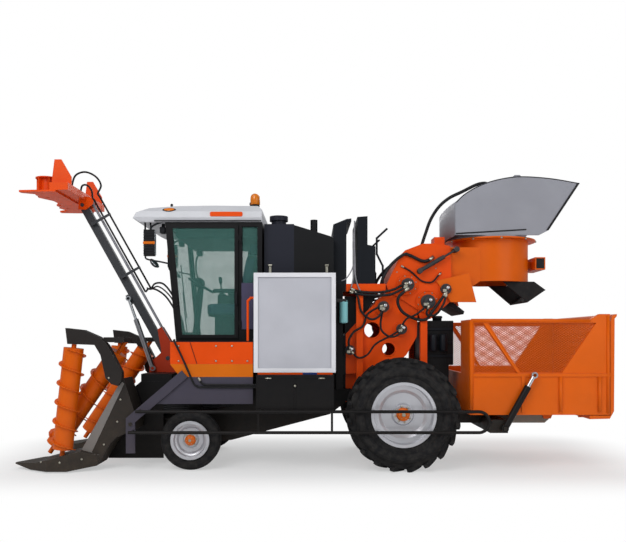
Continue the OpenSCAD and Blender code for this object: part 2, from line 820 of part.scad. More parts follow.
// Seat, steering column and console on the cab's floor
seat_x = -1180;
seat_y = 240;
seat_base_h = 320;
seat_base_x = 180;
console_y = [250, 440];
console_h = 640;
column_back = 480;
column_r = 45;
wheel_back = 400;
wheel_h = 760;
steer_r = 190;

module cab_interior() {
    floor_z = deck_z + cab_floor_t;
    color("#2b2b2e") {
        block([seat_x - seat_base_x, -seat_y + 60, floor_z],
              [seat_x + seat_base_x, seat_y - 60, floor_z + seat_base_h]);
        block([seat_x - 260, -seat_y, floor_z + seat_base_h - 1], [seat_x + 230, seat_y, floor_z + 440]);
        plate([[seat_x + 150, floor_z + 439], [seat_x + 290, floor_z + 1150], [seat_x + 370, floor_z + 1150],
               [seat_x + 270, floor_z + 380]], -seat_y, seat_y);
        block([seat_x - 200, console_y[0], floor_z], [seat_x + 250, console_y[1], floor_z + console_h]);
        block([seat_x - column_back - 46, -80, floor_z], [seat_x - column_back + 80, 80, floor_z + 20]);
        bar([seat_x - column_back, 0, floor_z + 12], [seat_x - wheel_back, 0, floor_z + wheel_h], column_r);
        translate([seat_x - wheel_back, 0, floor_z + wheel_h])
            rotate([0, 30, 0]) {
                rotate_extrude() translate([steer_r, 0]) circle(r = 16);
                translate([-steer_r, -18, -8]) cube([2 * steer_r, 36, 16]);
                translate([-18, -steer_r, -8]) cube([36, 2 * steer_r, 16]);
            }
    }
}

// Mirrors under the roof's front corners and the beacon on the roof
mirror_x = [roof_front_x + 129, roof_front_x + 269];
mirror_y = [700, 770];
mirror_z = [2748, 3090];
mirror_arm_r = 12;
beacon_at = [-790, 300];
beacon_r = 60;
beacon_h = 110;
beacon_post_h = 70;

module cab_fittings() {
    color(paint_black) {
        both_sides() {
            block([mirror_x[0], mirror_y[0], mirror_z[0]], [mirror_x[1], mirror_y[1], mirror_z[1]]);
            for (x = mirror_x)
                bar([(x + mirror_x[0]) / 2 + 12, mirror_y[0] + 30, mirror_z[1] - 10],
                    [(x + mirror_x[0]) / 2 + 12, mirror_y[0] + 30, cab_top_z], mirror_arm_r);
        }
        translate([beacon_at.x, -beacon_at.y, cab_top_z + roof_h - roof_drop]) {
            cylinder(h = beacon_post_h + 1, r = 22);
            translate([0, 0, beacon_post_h]) cylinder(h = beacon_h, r = beacon_r);
        }
    }
}

// Orange panels beside the cab deck, the dark skirts below them and the bent divider brackets
panel_y = deck_y;
panel_t = bracket_y - deck_y;
panel_z = [1187, 1629];
fold_z = 1350;
panel_front_x = -1809;
skirt_front = [[-1682, panel_z[0]], [-1998, 845]];
bracket_outline = [
    [-1657, 1270], [divider_x - 57, 669], [divider_x - 57, 225], [divider_x + 57, 225],
    [divider_x + 57, 617], [-1583, 1184]];

grab_rail = [[-830, deck_z + pin_gap], [-830, 2150], [-790, 2190], [screen_x[0] - pin_gap, 2190]];
grab_y = 950;
grab_r = 16;

module side_panels() {
    color(paint_orange) both_sides() {
        plate([[panel_front_x, fold_z], [panel_front_x, panel_z[1]], [deck_rear_x, panel_z[1]],
               [deck_rear_x, fold_z]], panel_y, panel_y + panel_t * 0.6);
        plate([[panel_front_x, fold_z], [deck_rear_x, fold_z], [deck_rear_x, panel_z[0]], skirt_front[0]],
              panel_y, panel_y + panel_t);
    }
    color(paint_orange) {
        for (i = [0:len(grab_rail) - 2])
            bar([grab_rail[i].x, -grab_y, grab_rail[i].y],
                [grab_rail[i + 1].x, -grab_y, grab_rail[i + 1].y], grab_r);
        for (i = [1:len(grab_rail) - 2])
            translate([grab_rail[i].x, -grab_y, grab_rail[i].y])
                rotate([0, 90 * (i - 1), 0])
                    sphere(r = grab_r + 2);
    }
}

module side_skirts() {
    color(paint_violet) both_sides() {
        plate(concat(skirt_front, [[deck_rear_x, skirt_front[1].y], [deck_rear_x, panel_z[0]]]),
              panel_y, panel_y + panel_t);
        difference() {
            plate(bracket_outline, bracket_y, bracket_y + bracket_t);
            shaft([divider_x, divider_z], divider_pin_r + pin_gap, bracket_y - 1, bracket_y + bracket_t + 1);
        }
    }
}

// Rear subframe under the basket
sub_z = [549, 687];
sub_start_x = 1800;
sub_end_x = 3150;
tip_pin_r = 30;
pad_x = [2100, 2200];
ram_base = [2395, 549];
ram_y = 1110;
ram_pin_r = 25;
hitch_x = 3060;
hitch_r = 22;

module rear_subframe() {
    color(paint_grey) difference() {
        union() {
            both_sides() {
                plate([[sub_start_x, rail_z], [sub_start_x, 660], [1950, sub_z[0]], [3090, sub_z[0]],
                       [sub_end_x, 600], [sub_end_x, sub_z[1]], [1950, sub_z[1]], [rail_rear_x, rail_z]],
                      rail_y, rail_out_y);
                block([pad_x[0], rail_y, sub_z[1] - 1], [pad_x[1], rail_out_y, basket_z - pin_gap]);
                shaft(ram_base, ram_pin_r, rear_cross_y - 1, ram_y + 40);
            }
            block([rear_cross_x[0], -rear_cross_y, rear_cross_z[0]],
                  [rear_cross_x[1], rear_cross_y, rear_cross_z[1]]);
            block([hitch_x - 60, -rail_y - 1, sub_z[0]], [hitch_x + 60, rail_y + 1, sub_z[0] + 40]);
        }
        both_sides() shaft([tip_x, tip_z], tip_pin_r + pin_gap, rail_y - 1, rail_out_y + 1);
        translate([hitch_x, 0, sub_z[0] - 1]) cylinder(h = 60, r = hitch_r);
    }
}

// Topper tower on the front beam
arm_foot = [arm_foot_x, arm_foot_z];
arm_head = [arm_head_x, arm_head_z];
link_offset = [110, 60];
link_foot = arm_foot + link_offset;
link_head = arm_head + link_offset;
topper_ram_base = [-2229, 1260];
topper_ram_eye = [-2568, 2230];
tower_plate_y = 60;
tower_plate_t = 20;
arm_pin_r = 30;
link_pin_r = 16;
topper_ram_y = 125;
topper_ram_pin_r = 20;
tower_outline = [
    [-2290, front_beam_z[1]], [-1885, front_beam_z[1]], [-1870, 1500], [-1950, 1560], [-2120, 1840],
    [-2175, 1800], [-2120, 1480], [-2290, 1330]];

module topper_tower() {
    color("#b8341a") {
        both_sides() difference() {
            plate(tower_outline, tower_plate_y, tower_plate_y + tower_plate_t);
            shaft(arm_foot, arm_pin_r + pin_gap, tower_plate_y - 1, tower_plate_y + tower_plate_t + 1);
            shaft(link_foot, link_pin_r + pin_gap, tower_plate_y - 1, tower_plate_y + tower_plate_t + 1);
        }
        shaft(topper_ram_base, topper_ram_pin_r, -topper_ram_y - 30, -tower_plate_y - tower_plate_t + 1);
    }
}

// Topper arm in its own frame: the foot at the origin and the head up the Z axis
arm_v = arm_head - arm_foot;
arm_length = norm(arm_v);
arm_lean = atan2(arm_v.x, arm_v.y);
arm_eye_r = 55;
arm_head_pin_r = 25;
lug_along = (topper_ram_eye - arm_foot) * arm_v / arm_length;
ram_boss_r = 28;

module topper_arm() {
    color(paint_black) {
        translate([arm_foot.x, 0, arm_foot.y]) rotate([0, arm_lean, 0]) {
            block([-arm_depth / 2, -arm_w / 2, 0], [arm_depth / 2, arm_w / 2, arm_length]);
            block([-arm_depth / 2 - 45, 4 - arm_w / 2, lug_along - 70], [0, arm_w / 2 - 4, lug_along + 70]);
        }
        shaft(arm_foot, arm_eye_r + 7, -arm_w / 2 - 3, arm_w / 2 + 3);
        shaft(arm_head, arm_eye_r + 2, -arm_w / 2 - 3, arm_w / 2 + 3);
        shaft(arm_foot, arm_pin_r, -tower_plate_y - tower_plate_t - 5, tower_plate_y + tower_plate_t + 5);
        shaft(arm_head, arm_head_pin_r, -clevis_y - clevis_t - 5, clevis_y + clevis_t + 5);
        shaft(topper_ram_eye, ram_boss_r, -ram_boss_end, 0);
    }
}

clevis_y = 52;
clevis_t = 20;
ram_boss_end = 98;
link_r = 18;
link_eye_r = 30;

module topper_link() {
    foot = [link_foot.x, 0, link_foot.y];
    head = [link_head.x, 0, link_head.y];
    color(paint_grey) {
        difference() {
            union() {
                bar(foot, head, link_r);
                shaft(link_head, link_eye_r + 8, -20, 20);
            }
            shaft(link_head, link_pin_r + 8, -25, 25);
        }
        shaft(link_foot, link_eye_r, -20, 20);
        shaft(link_foot, link_pin_r, -tower_plate_y - tower_plate_t - 4, tower_plate_y + tower_plate_t + 4);
    }
}

// Topper head: clevis, cross box, gathering plate with two tines, and the guide plates
head_plate_z = [3580, 3604];
head_y = 780;
cross_box_x = [-3420, -3180];
cross_box_top_z = 3700;
drum_at = [-3600, 380];
drum_pin_r = 25;
tine_y = [690, 760];
head_plan = [
    [-3340, -head_y], [-3340, head_y], [-3600, head_y], [shoe_tip_x, tine_y[1]], [shoe_tip_x, tine_y[0]],
    [-3660, 600], [-3720, drum_at.y], [-3600, 150], [-3600, -150], [-3720, -drum_at.y], [-3660, -600],
    [shoe_tip_x, -tine_y[0]], [shoe_tip_x, -tine_y[1]], [-3600, -head_y]];
clevis_outline = [
    [-3285, 3480], [-3180, 3480], [-3080, 3560], [-3075, 3640], [-3180, 3665], [-3285, 3665]];
guide_outline = [
    [-3434, 3604], [-3434, 3760], [-3400, 4030], [-3310, 4030], [-3177, 3800], [-3177, 3604]];
guide_y = 640;
guide_t = 16;

module topper_head() {
    color(paint_orange) {
        difference() {
            translate([0, 0, head_plate_z[0]])
                linear_extrude(head_plate_z[1] - head_plate_z[0]) polygon(head_plan);
            for (y = [-drum_at.y, drum_at.y])
                translate([drum_at.x, y, head_plate_z[0] - 1])
                    cylinder(h = 40, r = drum_pin_r + pin_gap);
        }
        block([cross_box_x[0], -head_y, head_plate_z[1] - 1], [cross_box_x[1], head_y, cross_box_top_z]);
        both_sides() {
            plate(guide_outline, guide_y, guide_y + guide_t);
            difference() {
                plate(clevis_outline, clevis_y, clevis_y + clevis_t);
                shaft(arm_head, arm_head_pin_r + pin_gap, clevis_y - 1, clevis_y + clevis_t + 1);
            }
        }
        shaft(link_head, link_pin_r, -clevis_y - 1, clevis_y + 1);
    }
}

drum_h = 240;
drum_gap = 8;
drum_fins = 6;

module topper_drum(y) {
    color(paint_orange) translate([drum_at.x, y, head_plate_z[1]]) {
        translate([0, 0, -20]) cylinder(h = 40, r = drum_pin_r);
        translate([0, 0, drum_gap]) cylinder(h = 14, r = drum_r);
        translate([0, 0, drum_h - 14]) cylinder(h = 14, r = drum_r);
        translate([0, 0, drum_gap + 2]) cylinder(h = drum_h - drum_gap - 4, r = drum_r * 0.6);
        for (i = [0:drum_fins - 1])
            rotate([0, 0, 360 / drum_fins * i])
                translate([drum_r * 0.5, -6, drum_gap + 5]) cube([drum_r * 0.46, 12, drum_h - drum_gap - 12]);
    }
}

module topper_drum_left() topper_drum(-drum_at.y);
module topper_drum_right() topper_drum(drum_at.y);

// A hydraulic cylinder in its own frame: the base eye at the origin and the rod up the Z axis
module ram_barrel(length, r, rod_r, eye_r, eye_w, pin_r) {
    difference() {
        union() {
            translate([0, 0, eye_r - 12]) cylinder(h = length - eye_r + 12, r = r);
            rotate([90, 0, 0]) cylinder(h = eye_w, r = eye_r, center = true);
        }
        rotate([90, 0, 0]) cylinder(h = eye_w + 2, r = pin_r + pin_gap, center = true);
        translate([0, 0, eye_r + 20]) cylinder(h = length, r = rod_r + pin_gap);
    }
}

module ram_rod(from, to, rod_r, eye_r, eye_w, bore_r) {
    difference() {
        union() {
            translate([0, 0, from]) cylinder(h = to - from - bore_r - 2, r = rod_r);
            translate([0, 0, to]) rotate([90, 0, 0]) cylinder(h = eye_w, r = eye_r, center = true);
        }
        translate([0, 0, to]) rotate([90, 0, 0]) cylinder(h = eye_w + 2, r = bore_r, center = true);
    }
}

// Put a cylinder's own frame between its base and its rod's eye
module along_ram(base, eye, y) {
    v = eye - base;
    translate([base.x, y, base.y]) rotate([0, atan2(v.x, v.y), 0]) children();
}

topper_barrel_l = 720;
topper_barrel_r = 34;
topper_rod_r = 20;
topper_ram_l = norm(topper_ram_eye - topper_ram_base);

module topper_barrel() {
    color(steel) along_ram(topper_ram_base, topper_ram_eye, -topper_ram_y)
        ram_barrel(topper_barrel_l, topper_barrel_r, topper_rod_r, 38, 44, topper_ram_pin_r);
}

module topper_rod() {
    color(paint_pale) along_ram(topper_ram_base, topper_ram_eye, -topper_ram_y)
        ram_rod(250, topper_ram_l, topper_rod_r, 36, 44, topper_ram_pin_r);
}

// Crop dividers: shoe, wing, top arm and pivot tube, with bearings for two scrolls
wing_y = [560, 985];
shoe_y = [560, 1150];
arm_y = [960, 1080];
shoe_outline = [
    [shoe_tip_x, 65], [-3574, 15], [-3066, 15], [-2735, 65], [-2700, 200], [-2938, 255], [-3200, 190],
    [-3500, 110], [shoe_tip_x, 80]];
shoe_plan = [
    [shoe_tip_x, 800], [shoe_tip_x, 860], [-3320, shoe_y[1]], [-3066, shoe_y[1]], [-2690, wing_y[1]],
    [-2690, wing_y[0]], [-3560, shoe_y[0]]];
wing_outline = [
    [-2404, 1171], [divider_x + 52, 700], [divider_x + 52, 520], [-2493, 420], [-2569, 344], [-2735, 66], [-3066, 16],
    [-2938, 255], [-2430, 1146]];
arm_outline = [
    [-3105, 1806], [-2879, 1781], [-2677, 1693], [-2577, 1592], [-2401, 1253], [-2401, 1150],
    [-2450, 1080], [-2527, 1100], [-2602, 1177], [-2665, 1466], [-2740, 1592], [-3080, 1605]];
cross_bearing = [[-2650, 620, 1625], [-2390, 1000, 1690]];
scroll_pin_r = 30;
outer_scroll_y = 1020;
inner_scroll_y = 690;
outer_axis = [[-3162, 238], [-3011, 1617]];
inner_axis = [[-3497, 107], [-2483, 1589]];
// Fractions of each axis at which the tube starts and ends
outer_span = [0.03, 0.955];
inner_span = [0.12, 0.935];
outer_pin_span = [-0.06, 1.05];
inner_pin_span = [0.05, 1.05];
pivot_r = 42;

// Point on a scroll's axis, on the left side of the machine
function on_axis(axis, t, y) = [between(axis[0], axis[1], t).x, y, between(axis[0], axis[1], t).y];

module scroll_bore(axis, span, y) {
    bar(on_axis(axis, span[0] - 0.01, y), on_axis(axis, span[1] + 0.01, y), scroll_pin_r + pin_gap);
}

module divider() {
    color("#3a3436") difference() {
        union() {
            intersection() {
                plate(shoe_outline, shoe_y[0], shoe_y[1]);
                linear_extrude(400) polygon(shoe_plan);
            }
            plate(wing_outline, wing_y[0], wing_y[1]);
            plate(arm_outline, arm_y[0], arm_y[1]);
            block(cross_bearing[0], cross_bearing[1]);
            shaft([divider_x, divider_z], pivot_r, throat_y + throat_wall + 5, bracket_y - 5);
            shaft([divider_x, divider_z], divider_pin_r, throat_y + 2, bracket_y + bracket_t + 8);
        }
        scroll_bore(outer_axis, outer_pin_span, outer_scroll_y);
        scroll_bore(inner_axis, inner_pin_span, inner_scroll_y);
    }
}

module divider_right() divider();
module divider_left() mirror([0, 1, 0]) divider();

// Screw flight round a tube as one closed ribbon, its inner edge just clear of the tube
flight_steps = 16;
module flight(length, hand) {
    turns = (length - flight_t) / flight_pitch;
    steps = ceil(turns * flight_steps);
    inner = (scroll_r + pin_gap) / cos(180 / flight_steps);
    rings = [for (i = [0:steps]) let (a = hand * 360 * turns * i / steps, z = flight_pitch * turns * i / steps)
        [[inner * cos(a), inner * sin(a), z], [flight_r * cos(a), flight_r * sin(a), z],
         [flight_r * cos(a), flight_r * sin(a), z + flight_t], [inner * cos(a), inner * sin(a), z + flight_t]]];
    points = [for (ring = rings) for (p = ring) p];
    walls = [for (i = [0:steps - 1]) for (k = [0:3])
        let (a = 4 * i + k, b = 4 * i + (k + 1) % 4)
        each [[a, b, b + 4], [a, b + 4, a + 4]]];
    last = 4 * steps;
    caps = [[0, 3, 2], [0, 2, 1], [last, last + 1, last + 2], [last, last + 2, last + 3]];
    faces = concat(walls, caps);
    polyhedron(points, hand < 0 ? [for (f = faces) [f[0], f[2], f[1]]] : faces);
}

module scroll(axis, span, pin_span, y, hand) {
    low = on_axis(axis, span[0], y);
    high = on_axis(axis, span[1], y);
    v = high - low;
    color(paint_orange) {
        bar(low, high, scroll_r);
        bar(on_axis(axis, pin_span[0], y), on_axis(axis, pin_span[1], y), scroll_pin_r);
        translate(low) rotate([0, atan2(v.x, v.z), 0]) flight(norm(v), hand);
    }
}

module outer_scroll_right() scroll(outer_axis, outer_span, outer_pin_span, outer_scroll_y, 1);
module inner_scroll_right() scroll(inner_axis, inner_span, inner_pin_span, inner_scroll_y, 1);
module outer_scroll_left() mirror([0, 1, 0]) outer_scroll_right();
module inner_scroll_left() mirror([0, 1, 0]) inner_scroll_right();

// Roller across the mouth of the throat, with bars that bend the cane over
roller_r = 70;
roller_bar_r = 110;
roller_bars = 8;
roller_side_gap = 8;

module knockdown_roller() {
    half = throat_y - roller_side_gap;
    color(paint_orange) {
        shaft(roller_at, roller_r, -half, half);
        shaft(roller_at, roller_pin_r, -throat_y - throat_wall + 2, throat_y + throat_wall - 2);
        for (i = [0:roller_bars - 1])
            translate([roller_at.x, 0, roller_at.y])
                rotate([0, 360 / roller_bars * i, 0])
                    block([roller_r - 8, -half + 10, -6], [roller_bar_r, half - 10, 6]);
    }
}

// Base cutters: a disc with blades on a shaft that hangs from the gearbox
cutter_t = 12;
cutter_blades = 5;

module base_cutter(y) {
    color(steel) translate([cutter_x, y, cutter_z]) {
        cylinder(h = cutter_t, r = cutter_r - 55);
        cylinder(h = gearbox_z[0] - cutter_z + gearbox_bore - 20, r = cutter_pin_r);
        cylinder(h = 160, r = 70);
        for (i = [0:cutter_blades - 1])
            rotate([0, 0, 360 / cutter_blades * i])
                block([cutter_r - 75, -30, 2], [cutter_r - 1.5, 30, 8]);
    }
}

module base_cutter_left() base_cutter(-cutter_y);
module base_cutter_right() base_cutter(cutter_y);

// Front knuckles: a barrel on the kingpin, with the wheel's spindle
spindle_r = 32;
spindle_end = 20;
barrel_r = 45;

module knuckle() {
    color(paint_black) translate([front_axle_x, 0, front_z]) {
        translate([0, kingpin_y, -fork_gap / 2 + pin_gap]) cylinder(h = fork_gap - 2 * pin_gap, r = barrel_r);
        translate([0, kingpin_y, -fork_gap / 2 - fork_t + 4])
            cylinder(h = fork_gap + 2 * fork_t - 8, r = kingpin_r);
        shaft([0, 0], spindle_r, kingpin_y, front_half_track + spindle_end);
        block([-28, kingpin_y - 30, -28], [28, kingpin_y + barrel_r + 15, 28]);
    }
}

module knuckle_right() knuckle();
module knuckle_left() mirror([0, 1, 0]) knuckle();

// Wheels in their own frame: the axis on Z, outwards up, the middle of the tyre at z = 0
bead_h = 25;
bead_gap = 0.3;

// Half outline of a tyre as [radius, across], from the bead out to the tread
function tyre_half(w, rim_r, bead, casing) =
    let (bulge_r = min(70, (casing - rim_r) / 2 - 8))
    concat(
        [[rim_r - bead_h + bead_gap, bead], [rim_r + 4, bead]],
        arc([(rim_r + casing) / 2, w / 2 - bulge_r], bulge_r, 150, 10, 8),
        [[casing, w / 2 - bulge_r]]);

module tyre_casing(w, rim_r, bead, casing) {
    half = tyre_half(w, rim_r, bead, casing);
    rotate_extrude($fn = 96)
        polygon(concat(half, reversed([for (p = half) [p.x, -p.y]])));
}

rear_bead = rear_tyre_w / 2 - 40;
front_bead = front_tyre_w / 2 - 30;
lug_skew = 42;
lug_sink = 30;

module rear_tyre() {
    casing = rear_tyre_r - lug_h;
    reach = (rear_tyre_w / 2 - 12) / cos(lug_skew);
    tyre_casing(rear_tyre_w, rear_rim_r, rear_bead, casing);
    intersection() {
        cylinder(h = rear_tyre_w - 16, r = rear_tyre_r, center = true, $fn = 96);
        union() for (side = [0, 1], i = [0:rear_lugs - 1])
            rotate([0, 0, 360 / rear_lugs * (i + side / 2)])
                mirror([0, 0, side])
                    rotate([lug_skew, 0, 0])
                        block([casing - lug_sink, -lug_w / 2, -10], [rear_tyre_r + 5, lug_w / 2, reach]);
    }
}

groove_table = [-70, -25, 25, 70];
groove_w = 12;
groove_d = 10;

module front_tyre() {
    difference() {
        tyre_casing(front_tyre_w, front_rim_r, front_bead, front_tyre_r);
        for (z = groove_table) difference() {
            translate([0, 0, z - groove_w / 2]) cylinder(h = groove_w, r = front_tyre_r + 5);
            translate([0, 0, z - groove_w]) cylinder(h = 2 * groove_w, r = front_tyre_r - groove_d);
        }
    }
}

// A rim: barrel with two flanges, a dished disc, a hub with a blind bore and a domed hub cap
module rim(rim_r, bead, disc_z, hub_r, bore_r, bore_end, cap_r, cap_h) {
    seat = rim_r - bead_h;
    lip = bead + bead_gap;
    rotate_extrude($fn = 96) polygon([
        [seat - 14, -lip - 14], [rim_r, -lip - 14], [rim_r, -lip], [seat, -lip], [seat, lip], [rim_r, lip],
        [rim_r, lip + 14], [seat - 14, lip + 14], [seat - 22, disc_z + 14], [seat * 0.8, disc_z + 4],
        [seat * 0.7, disc_z - 26], [hub_r + 20, disc_z - 26], [hub_r, disc_z], [hub_r, disc_z + 14],
        [cap_r, disc_z + 14], [cap_r * 0.9, disc_z + cap_h * 0.8], [cap_r * 0.6, disc_z + cap_h],
        [0, disc_z + cap_h], [0, bore_end + 2], [bore_r + pin_gap, bore_end + 2],
        [bore_r + pin_gap, disc_z - 90], [hub_r, disc_z - 90], [hub_r, disc_z - 40], [seat * 0.72, disc_z - 40],
        [seat - 14, disc_z - 16]]);
}

rear_disc_z = 60;
front_disc_z = 50;
rear_hub_r = 125;
front_hub_r = 85;

module rear_rim()
    rim(rear_rim_r, rear_bead, rear_disc_z, rear_hub_r, hub_pin_r, hub_end_y - rear_half_track, 76, 70);
module front_rim()
    rim(front_rim_r, front_bead, front_disc_z, front_hub_r, spindle_r, spindle_end, 60, 60);

module at_rear_left() on_left_hub(rear_axle_x, rear_half_track, rear_z) children();
module at_front_left() on_left_hub(front_axle_x, front_half_track, front_z) children();

module rear_tyre_left() color(rubber) at_rear_left() rear_tyre();
module rear_tyre_right() mirror([0, 1, 0]) rear_tyre_left();
module rear_rim_left() color(paint_pale) at_rear_left() rear_rim();
module rear_rim_right() mirror([0, 1, 0]) rear_rim_left();
module front_tyre_left() color(rubber) at_front_left() front_tyre();
module front_tyre_right() mirror([0, 1, 0]) front_tyre_left();
module front_rim_left() color(paint_pale) at_front_left() front_rim();
module front_rim_right() mirror([0, 1, 0]) front_rim_left();

// Basket: floor, side walls with mesh windows, a front wall that is low in the middle
belt_z = 1215;
floor_t = 40;
gusset_z = 1982;
tip_eye = [2765, belt_z];
tip_boss_end = 1078;
tip_boss_r = 36;
front_notch_y = 520;
front_window = [[2030, 1240], [2030, 1870], [2137, 1870], [2570, 1240]];
long_window = [[2200, 1870], [3560, 1870], [3130, 1240], [2610, 1240]];
ear_y = [rail_out_y + 5, rail_out_y + 35];
gate_hinge = [3495, 674];
gate_pin_r = 12;
gate_tab_y = [700, 730];
rib_table = [2640, 3110, 3600];
rib_w = 40;
rib_t = 14;

module basket() {
    color(paint_amber) {
        both_sides() {
            difference() {
                plate([[basket_front_x, basket_z], [basket_front_x, basket_top_z], [3480, basket_top_z],
                       [3600, gusset_z], [basket_rear_x, gusset_z], [basket_rear_x, basket_z]],
                      basket_y - basket_wall, basket_y);
                plate(front_window, basket_y - basket_wall - 1, basket_y + 1);
                plate(long_window, basket_y - basket_wall - 1, basket_y + 1);
            }
            for (x = rib_table)
                block([x - rib_w / 2, basket_y - 1, basket_z + 30], [x + rib_w / 2, basket_y + rib_t, belt_z - 20]);
            block([basket_front_x, basket_y - 1, belt_z - 22], [basket_rear_x, basket_y + rib_t, belt_z + 18]);
            block([basket_front_x, basket_y - 1, basket_top_z - 40], [3480, basket_y + rib_t, basket_top_z]);
            shaft(tip_eye, tip_boss_r, basket_y - 1, tip_boss_end);
            difference() {
                union() {
                    plate([[tip_x - 90, basket_z + 1], [tip_x - 45, tip_z - 40], [tip_x + 45, tip_z - 40],
                           [tip_x + 90, basket_z + 1]], ear_y[0], ear_y[1]);
                    shaft([tip_x, tip_z], tip_pin_r, rail_y - 5, ear_y[1]);
                    plate([[gate_hinge.x - 40, basket_z + 1], [gate_hinge.x - 28, gate_hinge.y - 28],
                           [gate_hinge.x + 28, gate_hinge.y - 28], [gate_hinge.x + 40, basket_z + 1]],
                          gate_tab_y[0], gate_tab_y[1]);
                }
                shaft(gate_hinge, gate_pin_r + pin_gap, gate_tab_y[0] - 1, gate_tab_y[1] + 1);
            }
        }
        block([basket_front_x, -basket_y, basket_z], [basket_rear_x, basket_y, basket_z + floor_t]);
        difference() {
            block([basket_front_x, -basket_y, basket_z], [basket_front_x + basket_wall, basket_y, basket_top_z]);
            block([basket_front_x - 1, -front_notch_y, belt_z],
                  [basket_front_x + basket_wall + 1, front_notch_y, basket_top_z + 1]);
        }
    }
}

// Expanded metal in the windows of the basket: sheets with staggered diamond holes inside a plain rim
mesh_t = 5;
mesh_gap = 0.4;
mesh_rim = 20;
mesh_strand = 9;
mesh_pitch = [150, 84];
function inset_window(w) = let (c = (w[0] + w[1] + w[2] + w[3]) / 4)
    [for (p = w) p + (c - p) * mesh_gap / norm(c - p) * 2];
// Distance of a point inside a window from the nearest edge, for corners listed clockwise
function depth_in(w, p) = min([for (i = [0:3]) let (e = w[(i + 1) % 4] - w[i], d = p - w[i])
    (e.y * d.x - e.x * d.y) / norm(e)]);
function diamond(c) = let (h = mesh_pitch / 2 - [1.8, 1] * mesh_strand)
    [c - [h.x, 0], c + [0, h.y], c + [h.x, 0], c - [0, h.y]];
function diamonds(w) = [for (row = [0:14], col = [0:11])
    let (d = diamond([w[0].x, 1240] + [(col + (row % 2) / 2) * mesh_pitch.x, (row + 1) * mesh_pitch.y / 2]))
    if (min([for (p = d) depth_in(w, p)]) > mesh_rim) d];

module basket_mesh() {
    mesh_y = basket_y - basket_wall / 2;
    color(paint_amber) both_sides() for (w = [front_window, long_window])
        plate(inset_window(w), mesh_y - mesh_t / 2, mesh_y + mesh_t / 2, diamonds(w));
}

// Tailgate: a tall rear panel with a rolled top and a lip under the basket's floor
gate_y = 1045;
gate_gap = 8;
gate_lip = 14;
gate_outline = [
    [gate_hinge.x - gate_lip, 658], [gate_hinge.x - gate_lip, basket_z - gate_gap],
    [basket_rear_x + gate_gap, basket_z - gate_gap], [basket_rear_x + gate_gap, 1890], [3770, 1966], [3823, 1982],
    [3823, 1955], [3796, 1925], [3788, 760], [3735, 664]];

module tailgate() {
    color(paint_amber) {
        difference() {
            plate(gate_outline, -gate_y, gate_y);
            both_sides()
                block([gate_hinge.x - 60, gate_tab_y[0] - gate_gap, 600],
                      [gate_hinge.x + 60, gate_tab_y[1] + gate_gap, basket_z]);
        }
        both_sides() shaft(gate_hinge, gate_pin_r, gate_tab_y[0] - gate_gap - 2, gate_tab_y[1] + gate_gap + 2);
    }
}

// Tipping cylinders beside the basket
tip_barrel_l = 600;
tip_barrel_r = 42;
tip_rod_r = 26;
tip_ram_l = norm(tip_eye - ram_base);

module tip_barrels() {
    color(paint_black) both_sides() along_ram(ram_base, tip_eye, ram_y)
        ram_barrel(tip_barrel_l, tip_barrel_r, tip_rod_r, 46, 50, ram_pin_r);
}

module tip_rods() {
    color(paint_pale) both_sides() along_ram(ram_base, tip_eye, ram_y)
        ram_rod(80, tip_ram_l, tip_rod_r, 40, 40, 22);
}

// Discharge hood that turns on the chamber's flange
hood_ring_t = 18;
hood_ring_r = 600;
hood_low_z = chamber_top_z + 15;
hood_peak_z = [3785, 3825, 3800];
hood_lip = [[3538, 3735], [3126, 3110]];
lip_w = 34;
lip_t = 12;
hood_outline = [
    [extractor_x - 600, hood_low_z], [extractor_x - 600, 3480], [2010, 3590], [2200, 3700],
    [2450, hood_peak_z[0]], [2750, hood_peak_z[1]], [3150, hood_peak_z[2]], hood_lip[0], hood_lip[1],
    [3000, hood_low_z]];
hood_hollow = [
    [extractor_x - 600 + hood_wall, 3000], [extractor_x - 600 + hood_wall, 3472], [2018, 3576], [2204, 3686],
    [2452, hood_peak_z[0] - hood_wall], [2750, hood_peak_z[1] - hood_wall],
    [3148, hood_peak_z[2] - hood_wall], [3700, 3695],
    [3240, 3100], [3060, 3000]];
function hood_plan(r) = concat(arc([extractor_x, 0], r, 90, 270, 20), [[3800, -r], [3800, r]]);

module extractor_hood() {
    ring_z = chamber_top_z + pin_gap;
    color(paint_grey) difference() {
        union() {
            intersection() {
                plate(hood_outline, -hood_y - 1, hood_y + 1);
                translate([0, 0, hood_low_z - 1]) linear_extrude(1000) polygon(hood_plan(hood_y));
            }
            translate([extractor_x, 0, ring_z]) cylinder(h = hood_ring_t, r = hood_ring_r);
            both_sides()
                plate(concat(hood_lip, shifted(reversed(hood_lip), [-lip_w, 0])), hood_y - 1, hood_y + lip_t);
        }
        intersection() {
            plate(hood_hollow, -hood_y, hood_y);
            translate([0, 0, hood_low_z - 60]) linear_extrude(1100) polygon(hood_plan(hood_y - hood_wall));
        }
        translate([extractor_x, 0, ring_z - 1]) cylinder(h = hood_ring_t + 30, r = chamber_r - chamber_wall);
    }
}

fan_z = 3003;
fan_hub_r = 90;
fan_tip_r = 470;
fan_blades = 4;
blade_w = 120;
blade_t = 10;
blade_pitch = 20;

module extractor_fan() {
    color(steel) translate([extractor_x, 0, fan_z]) {
        translate([0, 0, spider_z[0] - 30 - fan_z]) cylinder(h = fan_z - spider_z[0] + 30, r = fan_shaft_r);
        translate([0, 0, -20]) cylinder(h = 40, r = fan_hub_r);
        for (i = [0:fan_blades - 1])
            rotate([0, 0, 360 / fan_blades * i])
                rotate([blade_pitch, 0, 0])
                    block([fan_hub_r - 20, -blade_w / 2, -blade_t / 2], [fan_tip_r, blade_w / 2, blade_t / 2]);
    }
}

